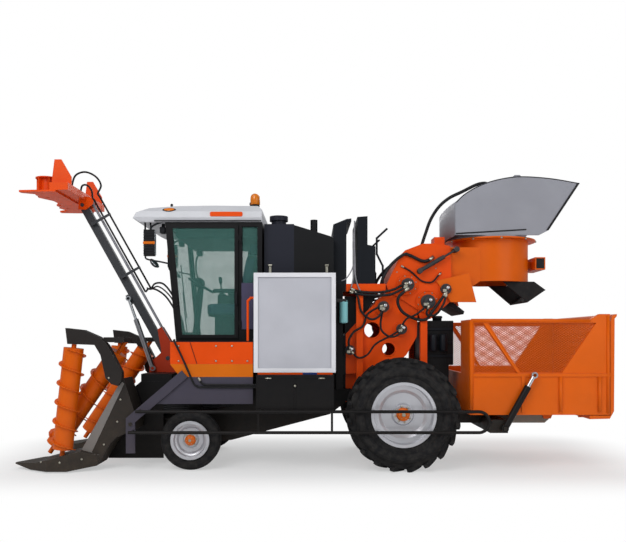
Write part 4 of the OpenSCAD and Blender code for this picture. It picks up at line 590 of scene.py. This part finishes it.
def strands(start, end, y, wide, thick):
    """Flat bars from start to end points (x, z) at one depth y: four corners round each line."""
    along = unit(end - start)
    side = np.column_stack([-along[:, 1], along[:, 0]]) * wide / 2
    shapes = []
    for offset_side, offset_y in ((1, -1), (1, 1), (-1, 1), (-1, -1)):
        ends = np.stack([start + offset_side * side, end + offset_side * side], axis=1)
        depth = np.full(ends.shape[:2], y + offset_y * thick / 2)
        shapes.append(np.stack([ends[..., 0], depth, ends[..., 1]], axis=-1))
    corner = np.stack(shapes, axis=2)
    base = np.arange(len(corner))[:, None, None] * 8
    ring = np.array([[0, 4, 5, 1], [1, 5, 6, 2], [2, 6, 7, 3], [3, 7, 4, 0], [0, 1, 2, 3], [7, 6, 5, 4]])
    return corner.reshape(-1, 3), (base + ring[None]).reshape(-1, 4).tolist()


WINDOWS = [mm((2030, 1240), (2030, 1870), (2137, 1870), (2570, 1240)),
           mm((2200, 1870), (2610, 1240), (3130, 1240), (3560, 1870))]
STRAND_PITCH, STRAND_WIDE, STRAND_THICK, MESH_Y = 25 * MM, 8.0 * MM, 2.5 * MM, -1025 * MM
RIM_WIDE, RIM_THICK = 16 * MM, 6 * MM
sheet_shapes = []
for window in WINDOWS:
    for slope, depth in ((np.radians(33), -1.2 * MM), (np.radians(147), 1.2 * MM)):
        start, end = clip_family(window, slope, STRAND_PITCH)
        sheet_shapes.append(strands(start, end, MESH_Y + depth, STRAND_WIDE, STRAND_THICK))
    sheet_shapes.append(strands(window, np.roll(window, -1, axis=0), MESH_Y, RIM_WIDE, RIM_THICK))
mesh_sheet = piece("expanded_metal_sheets", both(join(sheet_shapes)), basket_enamel, body="basket")
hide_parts("basket_mesh")
print("strands", sum(len(shape[1]) // 6 for shape in sheet_shapes), "a side")

# %% [markdown]
# ## Hydraulic hoses
# A cane harvester is run by oil: every roller, chopper drum and fan has its own motor, and the hoses to them
# loop over the housings. Each hose here is a curve through a few points read from the photograph, seated on
# A hose that crosses a joint rides on no body.

# %% Hose routes on the chassis, in millimetres
HOSES = {
    # name: (radius, points)
    "chopper_front_hose": (21, [
        (900, -470, 2330), (931, -560, 2480), (1037, -556, 2651), (1204, -548, 2788),
        (1298, -548, 2775), (1447, -548, 2707), (1540, -545, 2716), (1600, -520, 2760)]),
    "chopper_sensor_hose": (11, [
        (1180, -532, 2640), (1310, -540, 2560), (1450, -540, 2440), (1583, -540, 2425),
        (1662, -538, 2505), (1702, -532, 2545)]),
    "chopper_low_loop": (20, [
        (1258, -640, 2340), (1120, -640, 2200), (1170, -610, 2039), (1339, -580, 1940),
        (1490, -600, 1925), (1583, -620, 2039), (1766, -600, 2290)]),
    "chopper_rear_loop": (15, [
        (1525, -648, 2110), (1500, -640, 1990), (1620, -625, 1990), (1720, -610, 2120),
        (1766, -606, 2265)]),
    "beam_hose_upper": (17, [
        (500, -590, 2330), (640, -596, 2292), (880, -592, 2286), (1060, -590, 2320),
        (1190, -640, 2385), (1258, -642, 2400)]),
    "beam_hose_lower": (17, [
        (480, -588, 2296), (640, -600, 2256), (880, -600, 2244), (1040, -606, 2260),
        (1180, -645, 2330), (1240, -642, 2370)]),
    "roller_hose_a": (15, [
        (937, -618, 2080), (860, -640, 1960), (760, -610, 1930), (640, -600, 2030), (600, -590, 2200),
        (560, -588, 2300)]),
    "roller_hose_b": (15, [
        (495, -608, 1519), (470, -640, 1640), (540, -620, 1760), (660, -596, 1840), (720, -570, 1990),
        (830, -600, 2070), (925, -616, 2110)]),
    "roller_hose_c": (14, [
        (1180, -608, 1800), (1120, -640, 1720), (1010, -610, 1700), (900, -600, 1800),
        (910, -610, 1990), (945, -616, 2075)]),
    "roller_hose_d": (13, [
        (1160, -606, 1815), (1230, -640, 1930), (1360, -620, 1990), (1470, -630, 2080),
        (1515, -645, 2140)]),
    "roller_hose_e": (13, [
        (510, -606, 1500), (600, -630, 1420), (720, -600, 1460), (830, -590, 1600), (1010, -590, 1700),
        (1165, -606, 1790)]),
    "panel_pipe_upper": (13, [
        (-1762, -962, 1652), (-1748, -1012, 1630), (-1660, -1016, 1450), (-1569, -1016, 1245),
        (-1512, -1016, 1115), (-1470, -1016, 1075), (-1400, -1016, 1060), (-1000, -1016, 1058),
        (-735, -1014, 1058), (-705, -1000, 1058), (-690, -960, 1058)]),
    "panel_pipe_lower": (13, [
        (-1443, -1016, 1176), (-1405, -1016, 1112), (-1363, -1016, 1092), (-1300, -1016, 1088),
        (-1000, -1016, 1086), (-740, -1014, 1086), (-710, -1000, 1086), (-695, -960, 1086)]),
}


def ferrules(points, r):
    """Crimped sleeves at both ends of a hose, turned about its own direction there."""
    path = curve_through(points)
    sleeve = (r * 0.9, -6, r * 1.25, -6, r * 1.25, 2.2 * r, r * 1.12, 2.5 * r, r * 1.05, 3.4 * r)
    return join([turned(sleeve, path[0], path[3] - path[0], 12), turned(sleeve, path[-1], path[-4] - path[-1], 12)])


piece("chassis_hoses", both(join([tube(points, r) for r, points in HOSES.values()])), hose_rubber, True)
piece("chassis_hose_ends", both(join([ferrules(points, r) for r, points in HOSES.values()])), zinc_steel, True)
print("hoses", len(HOSES))

# %% [markdown]
# ## The cab
# Through the tinted panes one sees a dark headliner with its radio, a sprung seat in blue cloth, the driver's
# console and a monitor on a stalk. A cushion is a superellipsoid: a ball whose sines and cosines are raised to
# a power below one, so it keeps the softness of a ball and fills out towards a box. Two welted channels are
# pressed into the seat with narrow bell curves.

# %% Seat cushions and headrest
seat_cloth = moulded("blue_seat_cloth", "#2B3B5C", 0.85, 1.6, 0.5, "#3D5078", 0.6, 60.0)


def power(value, exponent):
    """The sign of a number times its size raised to an exponent."""
    return np.sign(value) * np.abs(value) ** exponent


def cushion(middle, half, lean=0.0, square=0.34, channels=(), rows=28, columns=56):
    """Superellipsoid about a middle: x = a cos^e p cos^e q, y = b cos^e p sin^e q, z = c sin^e p, with bell-shaped
    channels across it pressed in by 10 mm, then leaned about Y."""
    p = np.linspace(-np.pi / 2 + 0.02, np.pi / 2 - 0.02, rows)[:, None]
    q = np.linspace(0, 2 * np.pi, columns, endpoint=False)[None, :]
    x = half[0] * power(np.cos(p), square) * power(np.cos(q), square)
    y = half[1] * power(np.cos(p), square) * power(np.sin(q), square)
    z = half[2] * power(np.sin(p), square) * np.ones_like(q)
    dent = sum((10.0 * np.exp(-((y - place) / 9.0) ** 2) for place in channels), np.zeros_like(y))
    thin = int(np.argmin(half))
    x = x - (dent * np.sign(x) if thin == 0 else 0)
    z = z - (dent * np.sign(z) if thin == 2 else 0)
    turned_x = x * np.cos(lean) + z * np.sin(lean)
    turned_z = z * np.cos(lean) - x * np.sin(lean)
    return skin(np.stack([turned_x + middle[0], y + middle[1], turned_z + middle[2]], axis=-1) * MM)


BACK_LEAN = np.arctan2(140.0, 711.0)
seat_pads = {
    "seat_cushion": cushion((-1195, 0, 2072), (272, 262, 84), channels=(-95, 95)),
    "seat_back": cushion((-912, 0, 2455), (74, 262, 392), BACK_LEAN, channels=(-95, 95)),
    "seat_headrest": cushion((-826, 0, 2935), (52, 140, 92), BACK_LEAN),
}
for pad_name, shape in seat_pads.items():
    pad = piece(pad_name, shape, seat_cloth, True)
posts = [tube((-848, y, 2790, -832, y, 2880), 8, straight=True) for y in (-55, 55)]
piece("seat_headrest_posts", join(posts), zinc_steel, True)
print("pads", list(seat_pads))

# %% Headliner, controls and monitor
liner = join([soft_box((-1800, -690, 2985), (-690, 690, 3150), 30),
              soft_box((-1290, -706, 3000), (-1100, -684, 3072), 8),
              soft_box((-1430, -704, 3005), (-1330, -684, 3066), 8)])
piece("cab_headliner", liner, cab_plastic)
stick_profile = (62, 0, 58, 10, 40, 30, 24, 48, 12, 60, 11, 170, 22, 185, 27, 225, 24, 262, 12, 275)
controls = join([
    turned(stick_profile, (-1330, 345, 2299), (-0.1, 0, 1), 20),
    soft_box((-1240, 270, 2296), (-960, 425, 2352), 20),
    soft_box((-1370, -335, 2296), (-960, -268, 2352), 20),
    tube((-985, -300, 2300, -960, -262, 2230, -945, -240, 2180), 16, 12),
    soft_box((-1665, -150, 2395), (-1545, 150, 2520), 30),
    tube((-1600, -110, 2500, -1604, -260, 2600, -1590, -330, 2740, -1560, -340, 2810), 11, 10),
    soft_box((-1575, -420, 2795), (-1500, -290, 2865), 12)])
piece("cab_controls", controls, cab_plastic)
piece("cab_monitor_screen", soft_box((-1499, -410, 2803), (-1496, -300, 2857), 1), mirror_glass)
print("cab furnished")

# %% Roof, beacon and mirrors
AERIAL = (26, -3, 26, 10, 14, 24, 9, 30, 9, 84, 18, 92, 18, 118, 8, 126)
MIRROR_AT, MIRROR_WAY = (-2062, -752, 2652), (0.72, -0.25, 0.62)
roof_left = on_surface("cab_roof", [(-1866, -2000, 3345)], (0, 1, 0))[0]
piece("roof_marker_rim", both(dome(*roof_left, 47, 9, 32, (1.9, 1, 1))), black_enamel, True)
piece("roof_marker_lens", both(dome(*roof_left, 38, 16, 32, (1.95, 1, 1))), amber_lens, True)
strip = side_plate((-1330, 3262, -1318, 3250, -922, 3250, -910, 3262, -910, 3298, -922, 3310, -1318, 3310,
                    -1330, 3298), -825.5, -806)
piece("roof_blank_strip", both(strip), orange_enamel)
piece("roof_gutter", both(slab(-2050, -668, 3186, 3200, -829, -812)), black_enamel)
feet = on_surface("cab_roof", [(x, -300, 5000) for x in (-1941, -861)], (0, 0, -1))
piece("roof_aerials", join([turned(AERIAL, foot, (0.1, 0, 1), 18) for foot, _ in feet]), cab_plastic, True)
bend = np.linspace(0, np.pi / 2 - 0.05, 10)
lens = np.vstack([[[60, 0], [66, 4], [65, 94]], np.column_stack([64 * np.cos(bend), 98 + 58 * np.sin(bend)])])
piece("beacon_lens", turned(lens, (-790, -300, 3498), UP, 32), amber_lens, True)
ribs = [soft_box((-2206, -776, z), (-2054, -694, z + 12), 5) for z in range(2775, 3080, 34)]
piece("mirror_ribs", both(join(ribs)), cab_plastic)
piece("mirror_reflector", both(soft_box((-2208, -778, 2899), (-2052, -692, 2936), 6)), amber_enamel)
stays = [tube((-2185, -735, 2760, -2178, -736, 2718, -2120, -742, 2696, -1990, -758, 2672, -1858, -784, 2642), 11, 12),
         tube((-2120, -735, 3080, -2100, -738, 3130, -2040, -744, 3165, -1960, -750, 3190), 13, 12),
         turned((20, -34, 52, -24, 72, -6, 76, 4, 70, 8), MIRROR_AT, MIRROR_WAY, 32)]
piece("mirror_stays", both(join(stays)), cab_plastic, True)
mirrors = [turned((69, 7, 66, 12, 46, 20, 22, 25, 4, 27), MIRROR_AT, MIRROR_WAY, 32),
           soft_box((-2055, -766, 2758), (-2050.5, -704, 3082), 2)]
piece("mirror_faces", both(join(mirrors)), mirror_glass, True)
print("roof and mirrors dressed")

# %% [markdown]
# ## Panels, doors and boxes
# Sheet metal is read by its edges and fixings: domed bolts on the side panels, a lock and hinges on the tool
# boxes, a handle on the door, a slate panel in the lower quarter light. The flat finishes also change along a
# fold, so some faces of a solid take a second finish, picked by where they lie.


# %% Second finishes by place
def refinish(node, material, chosen):
    """Give the faces whose middles pass a test their own material slot; the mesh itself stays as it is."""
    mesh = nodes[node].data
    middle = np.empty(len(mesh.polygons) * 3)
    mesh.polygons.foreach_get("center", middle)
    slot = np.zeros(len(mesh.polygons), np.int32)
    mesh.polygons.foreach_get("material_index", slot)
    mesh.materials.append(material)
    slot[chosen(*middle.reshape(-1, 3).T)] = len(mesh.materials) - 1
    mesh.polygons.foreach_set("material_index", slot)
    mesh.update()


PANEL_FOLD_Z, SCREEN_RIM_Y, HOOD_FLANGE_Y, HOOD_FLANGE_Z = 1.352, 1.0085, 0.5795, 3.1   # in metres
white_enamel = enamel("white_rim_enamel", "#E4E4E9", rough=0.42, primer="#B9B9BE", wear=0.2)
arm_enamel = enamel("grey_arm_enamel", "#3B3D41", rough=0.42, primer="#6E6C6A", dust=0.05)
refinish("side_panels", orange_enamel, lambda x, y, z: z > PANEL_FOLD_Z)
refinish("engine_screens", white_enamel, lambda x, y, z: np.abs(y) > SCREEN_RIM_Y)
refinish("extractor_hood", black_enamel, lambda x, y, z: (np.abs(y) > HOOD_FLANGE_Y) & (z > HOOD_FLANGE_Z))
refinish("extractor_chamber", basket_enamel, lambda x, y, z: z > 0)
nodes["topper_arm"].material_slots[0].material = arm_enamel
print("finishes by place done")

# %% Bolts, locks, handles and the quarter panel
PANEL_BOLTS = [(-1227, 1579), (-1025, 1579), (-1227, 1389), (-1025, 1389), (-1700, 1579), (-1700, 1389), (-830, 1389)]
piece("panel_bolts", both(join([dome((x, -1000, z), LEFT, 13, 8, 14) for x, z in PANEL_BOLTS])), zinc_steel, True)
crease = side_plate((-1560, 1628, -1553, 1628, -1464, 1352, -1471, 1352), -1001.2, -999, 0.4)
piece("panel_joint", both(crease), black_enamel)
slate_panel_enamel = enamel("slate_panel_enamel", "#4A4660", rough=0.5, primer="#77737A", dust=0.05)
piece("cab_quarter_panel", both(slab(-925, -712, 1792, 2392, -812, -776, 3)), slate_panel_enamel)
lid = join([slab(-705, 255, 1176, 1211, -1106, -1098), slab(-705, 255, 762, 782, -1104, -1098),
            slab(-705, -687, 782, 1176, -1104, -1098), slab(237, 255, 782, 1176, -1104, -1098)])
piece("tool_box_edges", both(lid), black_enamel)
lock = turned((17, -2, 17, 5, 13, 7, 13, 12, 5, 13), (-225, -1100, 1080), LEFT, 20)
hinges = [turned((9, -40, 9, 40), (x, -1108, 1176), (1, 0, 0), 12) for x in (-560, 110)]
piece("tool_box_lock", both(join([lock] + hinges)), zinc_steel, True)
piece("box_top_strip", both(soft_box((-700, -1004, 1216), (250, -955, 1244), 3)), orange_enamel)
blue_enamel = enamel("blue_box_enamel", "#22346E", rough=0.45, primer="#5A5E70", dust=0.05)
piece("box_top_block", soft_box((-130, -1010, 1216), (52, -960, 1246), 4), blue_enamel)
handle = tube((-985, -828, 2110, -985, -866, 2125, -985, -874, 2190, -985, -866, 2255, -985, -828, 2270), 10, 12)
piece("door_handle", handle, cab_plastic, True, "door")
print("panels dressed")

# %% The rear tank
FILTER = (20, 0, 46, 6, 50, 20, 50, 215, 44, 228, 20, 232)
piece("tank_straps", both(join([slab(x, x + 45, 1322, 1909, -475, -468, 1) for x in (1560, 1775)])), black_enamel)
filler = turned((62, -3, 62, 34, 70, 36, 70, 62, 60, 68, 8, 70), (1690, -330, 1912), UP, 28)
piece("tank_filler_cap", filler, cab_plastic, True)
bands = [soft_box((1500, -486, z), (1878, -466, z + 38), 6) for z in (1420, 1600, 1780)]
piece("tank_bands", both(join(bands)), navy_enamel)
piece("tank_filters", join([turned(FILTER, (x, -520, 1500), UP, 24) for x in (1610, 1740)]), navy_enamel, True)
print("tank dressed")

# %% [markdown]
# ## The chopper, the hood and the lamps
# Motor flanges are bolted on, with raised rims and bright caps, and the discharge hood is one rolled sheet: its
# top is a smooth curve through the corners of the solid, so a thin skin is carried along that curve and hides
# the flats.

# %% Flanges, motors and plates of the chopper and the duct
FLANGES = [(1258, 2389, 118), (1525, 2162, 128), (1766, 2330, 66)]
SEAM_BOLTS = [(1900, 2420), (1640, 2610), (1480, 2690), (1120, 2560), (1090, 2250)]
MOTORS = [(1258, 2389, 640, 85), (1525, 2162, 650, 95), (1766, 2330, 610, 70), (937, 2095, 622, 75),
          (495, 1519, 612, 65), (1180, 1800, 612, 70)]        # x, z, outer end, radius
RIMS = [(1258, -542, 2389, 136, 8), (1525, -542, 2162, 146, 8), (1766, -542, 2330, 80, 8), (790, -490, 1787, 112, 9),
        (1010, -490, 1530, 92, 9)]                            # place, radius, thickness
MOTOR_CAP = (30, -2, 30, 9, 24, 13, 24, 20, 8, 22)
bolts = [dome(place, LEFT, 10, 9, 6) for x, z, r in FLANGES for place in around(x, -542, z, r, 8, 0.3)]
bolts += [dome((x, -520, z), LEFT, 11, 8, 6) for x, z in SEAM_BOLTS
          if on_surface("chopper_box", [(x, -900, z)], (0, 1, 0))]
piece("chopper_bolts", both(join(bolts)), zinc_steel, True)
caps = [turned(MOTOR_CAP, (x + 0.25 * r, -y, z + 0.2 * r), LEFT, 20) for x, z, y, r in MOTORS]
ports = [soft_box((x - 0.75 * r, -y - 26, z - 0.62 * r), (x - 0.75 * r + 46, -y + 2, z - 0.62 * r + 40), 4)
         for x, z, y, r in MOTORS]
piece("motor_caps", both(join(caps)), chrome_rod, True)
piece("motor_ports", both(join(ports)), zinc_steel)
piece("flange_rims", both(join([bead((x, y, z), r, t, t) for x, y, z, r, t in RIMS])), orange_enamel, True)
cheek = side_plate((1640, 2440, 2073, 2546, 2173, 2156, 1833, 2156), -555, -541)
piece("chute_cheeks", both(cheek), basket_enamel)
guard = side_plate((425, 2240, 850, 2240, 690, 1980, 560, 1800, 425, 1720), -470, -462)
piece("duct_guards", both(guard), black_enamel)
print("bolts", len(bolts), "motors", len(MOTORS))

# %% The hood's rolled skin
HOOD_TOP = np.array([(1892, 3480), (2010, 3590), (2200, 3700), (2450, 3785), (2750, 3825), (3150, 3800), (3538, 3735)])
HOOD_FOOT = [(3126, 3110), (3000, 3048), (1892, 3048)]
HOOD_HALF = 573.5
NOSE_ROWS = ((0, 3048), (0, 3300), (0, 3478), (28, 3506))     # set back and height
HOOD = {"body": "extractor_hood"}


def rolled_sheet(corners, half, out, into):
    """Sheet along a smooth curve, in millimetres: four corners at each station, the outer ones moved out along the
    normal and the inner ones in, at y = -half and +half."""
    path = curve_through(np.insert(corners.astype(float), 1, 0.0, axis=1), 10)
    along = unit(np.gradient(path, axis=0))
    normal = np.stack([-along[:, 2], np.zeros(len(path)), along[:, 0]], axis=-1)
    across = np.array([0.0, half, 0.0])
    outer, inner = path + out * normal, path - into * normal
    return path, skin(np.stack([outer - across, inner - across, inner + across, outer + across], axis=1) * MM)


hood_curve, hood_top = rolled_sheet(HOOD_TOP, HOOD_HALF, 2, 12)
hood_outline = np.vstack([hood_curve[:, [0, 2]], HOOD_FOOT])
piece("hood_rolled_top", hood_top, hood_enamel, True, **HOOD)
piece("hood_side_sheets", both(side_plate(hood_outline, -HOOD_HALF, -566, 0.6)), hood_enamel, **HOOD)
y = np.linspace(-HOOD_HALF, HOOD_HALF, 25)
bowed = 1889 - 35 * (1 - (y / HOOD_HALF) ** 2)
nose, back = (np.stack([np.column_stack([x + shift, y, np.full(len(y), z)]) for shift, z in NOSE_ROWS])
              for x in (bowed, np.full(len(y), 1892.5)))
piece("hood_nose_sheet", skin(np.concatenate([nose, back[:, ::-1]], axis=1) * MM), hood_enamel, True, **HOOD)
strap = side_plate((1896, 3056, 2830, 3112, 2830, 3128, 1896, 3074), -580, -572)
piece("hood_strap", both(strap), flap_rubber, **HOOD)
piece("hood_lug", soft_box((2735, -340, 3795), (2832, -262, 3902), 12), hood_enamel, **HOOD)
clips = [dome((2492 + 612 * np.cos(a), 612 * np.sin(a), 3008), (np.cos(a), np.sin(a), 0), 16, 16, 10)
         for a in np.radians([200, 235, 270, 305, 340, 20, 55, 90, 125, 160])]
piece("hood_ring_clips", join(clips), zinc_steel, True)
print("hood dressed")

# %% Rear lamps and work lamps
piece("rear_lamp_panels", both(slab(3066, 3174, 2636, 2774, -263.5, -258, 1)), black_enamel)
piece("rear_lamp_backs", soft_box((3186, -240, 2634), (3194, 240, 2776), 3), black_enamel)
for lamp_name, lens_material, y in (("rear_lamp_red", red_lens, 190), ("rear_lamp_amber", amber_lens, 105)):
    piece(lamp_name, both(dome((3194, -y, 2705), (1, 0, 0), 36, 12, 24)), lens_material, True)
lamp_top, _ = on_surface("cab_roof", [(-1970, -640, 2800)], UP)[0]
work_lamp = join([soft_box((-2012, -692, 3052), (-1938, -588, 3140), 12),
                  soft_box((-1990, -660, 3136), (-1950, -620, lamp_top[2] + 4), 6)])
piece("work_lamps", both(work_lamp), cab_plastic)
piece("work_lamp_glass", both(soft_box((-2015, -682, 3062), (-2010, -598, 3130), 2)), clear_lens)
print("lamps done")

# %% [markdown]
# ## Hoses that cross a joint
# The topper, the hood and the tower are fed across their pivots. Such a hose runs from a fitting on one
# body to a fitting on the other, drawn once in the solids' own pose, and rides on no body itself.
# Along the topper arm two hoses are held off the steel by plain brackets, clear of the parallel link.

# %% Hoses along the topper arm
ARM_FOOT, ARM_HEAD = np.array([-2032.0, 1398.0]), np.array([-3231.0, 3543.0])
ARM_ALONG = unit(ARM_HEAD - ARM_FOOT)
ARM_OUT = np.array([ARM_ALONG[1], -ARM_ALONG[0]])
HOSE_Y, LOW_HOSE, HIGH_HOSE = -80.0, 180, 271                 # depth, and distances out from the arm's centre line
BRACKET_PLATE = ((-22, -18), (22, -18), (16, 290), (-16, 290))
BRACKET_BLOCK = ((-22, -18), (22, -18), (22, 30), (-22, 30))


def beside_arm(along, out):
    """Place at a distance along the arm from its foot and a distance out from its centre line, in millimetres."""
    x, z = ARM_FOOT + along * ARM_ALONG + out * ARM_OUT
    return (x, HOSE_Y, z)


def arm_bracket(along):
    """Bracket on the arm's side: a plate that reaches out past the link to both hoses, and a foot block."""
    plate, block = ([beside_arm(along + a, out)[::2] for a, out in corners]
                    for corners in (BRACKET_PLATE, BRACKET_BLOCK))
    return join([side_plate(plate, -101, -92), side_plate(block, -96, -44)])


arm_tubes = [tube((beside_arm(960, out), beside_arm(2440, out)), 13, 12, True) for out in (LOW_HOSE, HIGH_HOSE)]
piece("topper_arm_hoses", join(arm_tubes), hose_rubber, True, "topper_arm")
piece("topper_hose_brackets", join([arm_bracket(1300), arm_bracket(2150)]), arm_enamel, body="topper_arm")
print("arm hoses", len(arm_tubes))

# %% Loops at the topper head and the tower
HEAD_LOOPS = {
    "topper_loop_high": (13, [
        beside_arm(2440, HIGH_HOSE), beside_arm(2490, HIGH_HOSE), (-2965, -85, 3815), (-3030, -110, 3930),
        (-3160, -150, 3985), (-3280, -185, 3935), (-3325, -200, 3810), (-3330, -200, 3698)]),
    "topper_loop_low": (13, [
        beside_arm(2440, LOW_HOSE), beside_arm(2480, LOW_HOSE), (-3095, -90, 3740), (-3150, -105, 3810),
        (-3215, -120, 3800), (-3240, -125, 3698)]),
}
for loop_name, (r, points) in HEAD_LOOPS.items():
    loop = piece(loop_name, tube(points, r), hose_rubber, True, None)
    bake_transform(loop)
FOOT_LOOPS = {
    "tower_loop_high": (13, [
        (-1818, -58, 1757), (-1845, -70, 1900), (-1900, -80, 2130), (-1990, -84, 2320), (-2100, -84, 2440),
        (-2210, -82, 2440), beside_arm(960, HIGH_HOSE)]),
    "tower_loop_low": (13, [
        (-1818, -18, 1757), (-1850, -40, 1880), (-1930, -66, 2060), (-2050, -80, 2250), (-2180, -84, 2350),
        (-2290, -82, 2370), beside_arm(960, LOW_HOSE)]),
    "tower_loop_side": (10, [
        (-1818, 22, 1757), (-1850, 10, 1940), (-1950, -40, 2180), (-2060, -70, 2330), (-2170, -100, 2400),
        (-2260, -104, 2360), beside_arm(1000, 225)]),
}
for loop_name, (r, points) in FOOT_LOOPS.items():
    loop = piece(loop_name, tube(points, r), hose_rubber, True, None)
    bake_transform(loop)
piece("topper_manifold", soft_box((-1860, -95, 1655), (-1774, 60, 1760), 10), cast_iron)
fittings = [turned((19, -4, 19, 26, 15, 34), points[0], UP, 6) for _, points in FOOT_LOOPS.values()]
piece("topper_fittings", join(fittings), zinc_steel)
print("loops", len(HEAD_LOOPS) + len(FOOT_LOOPS))

# %% Hood hose, lines on the duct, cooler cables and the filter
HOOD_HOSE = [(1480, -300, 2930), (1530, -315, 3090), (1600, -350, 3290), (1700, -410, 3450), (1830, -460, 3560),
             (2000, -490, 3640), (2180, -495, 3728), (2290, -495, 3752), (2345, -495, 3735)]
hood_hose = piece("hood_hose", tube(HOOD_HOSE, 22), hose_rubber, True, None)
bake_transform(hood_hose)
duct_lines = [(-2010, -480, 700 + 28 * k, -1900, -470, 712 + 27 * k, -1740, -455, 712 + 27 * k,
               -1560, -430, 725 + 27 * k, -1350, -400, 745 + 20 * k, -1120, -385, 765 + 12 * k,
               -900, -380, 770 + 10 * k) for k in range(4)]
piece("duct_top_hoses", both(join([tube(line, 14, 12) for line in duct_lines])), hose_rubber, True)
CABLES = [(9, [(552, -566, 3236), (548, -576, 2950), (558, -572, 2700), (562, -578, 2500), (604, -584, 2350),
               (656, -592, 2255)]),
          (8, [(556, -568, 2730), (512, -576, 2580), (440, -574, 2470), (380, -561, 2440)]),
          (8, [(540, -566, 3080), (530, -574, 2890), (545, -578, 2640), (530, -580, 2460), (500, -590, 2330)])]
cable_grey = moulded("grey_cable_sheath", "#8E8D92", 0.5, 6.0, 0.3, "#5E5D62", 0.5, 40.0)
piece("cooler_cables", join([tube(points, r) for r, points in CABLES]), cable_grey, True)
bay_wall, _ = on_surface("engine_bay", [(700, -640, 2130)], (-1, 0, 0))[0]
can = turned((20, -6, 50, 0, 55, 10, 55, 250, 57, 256, 57, 268, 50, 276, 50, 296, 20, 300), (403, -640, 1880), UP, 32)
piece("oil_filter_can", can, teal_enamel, True)
piece("oil_filter_bracket", soft_box((bay_wall[0] - 2, -690, 2150), (440, -590, 2196), 8), cast_iron)
print("filter on the bay's wall at", round(float(bay_wall[0])), "mm")

# %% [markdown]
# ## Last fixings
# A wiper on the windscreen, bolts and a light worn strip on each crop divider, catches on the bonnet, grips on
# the tailgate and rounded rails on the basket are small, and they let the eye read how large the plates are.
# Where a face is raked, the solid is asked where its surface lies.

# %% Wiper, dividers, catches, grips and rails
DIVIDER_BOLTS = [(-3400, 130), (-3150, 130), (-2900, 160), (-2650, 330), (-2480, 620), (-2440, 900), (-2560, 1180)]
GRIP = np.array([(-2, -90, 0), (48, -80, 0), (56, 0, 0), (48, 80, 0), (-2, 90, 0)])
RAILS = [(24, (1990, -1052, 735), (1990, -1052, 1898)), (24, (1990, -1052, 1898), (3480, -1052, 1898)),
         (20, (3710, -1050, 735), (3710, -1050, 1960)), (21, (3110, -1062, 760), (3110, -1062, 1192)),
         (21, (3600, -1062, 760), (3600, -1062, 1192))]       # radius and both ends
(low_glass, _), (high_glass, _) = on_surface("cab_glass", [(-3000, 40, 1800), (-3000, 40, 2700)], (1, 0, 0))


def on_screen(z, y, off):
    """Place on the raked windscreen at a height and a width, held off it by a few millimetres."""
    part = (z - low_glass[2]) / (high_glass[2] - low_glass[2])
    return (low_glass[0] + part * (high_glass[0] - low_glass[0]) - off, y, z)


def catch(x, y, z):
    """Over-centre catch on the left: a strap with a round toggle, standing out along -Y."""
    return join([soft_box((x - 16, y - 10, z - 70), (x + 16, y, z + 40), 4),
                 turned((13, -24, 13, 24), (x, y - 14, z + 30), (1, 0, 0), 12)])


wiper = [turned((26, 0, 26, 22, 14, 30), on_screen(1722, 40, -2), (-1, 0, 0.1), 18),
         tube((on_screen(1722, 40, 22), on_screen(2000, 10, 26), on_screen(2330, -20, 20)), 7),
         tube((on_screen(1960, 15, 7), on_screen(2330, -20, 9), on_screen(2700, -55, 7)), 8)]
piece("windscreen_wiper", join(wiper), cab_plastic, True)
seats = on_surface("divider_left", [(x, -3000, z) for x, z in DIVIDER_BOLTS], (0, 1, 0))
on_twins("divider", "bolts", join([dome(place, normal, 15, 9, 6) for place, normal in seats]), zinc_steel)
strip_enamel = enamel("worn_strip_enamel", "#7A7674", rough=0.5, primer="#A5A2A0", wear=0.8, dust=0.2)
wing_strip = side_plate((-2932, 262, -2434, 1136, -2392, 1102, -2804, 228), -989.5, -983, 1)
on_twins("divider", "strip", wing_strip, strip_enamel)
piece("bonnet_catches", both(join([catch(x, -700, 2600) for x in (-560, 180)])), zinc_steel)
gate_places = on_surface("tailgate", [(5000, y, 1700) for y in (-700, 700)], (-1, 0, 0))
grips = [tube(place + GRIP, 11) for place, _ in gate_places]
piece("tailgate_grips", join(grips), black_enamel, True, "tailgate")
rails = [tube(ends, r, 16, True) for r, *ends in RAILS]
piece("basket_rails", both(join(rails)), basket_enamel, True, "basket")
print("divider bolts", len(seats), "grips", len(grips), "rails", len(rails))
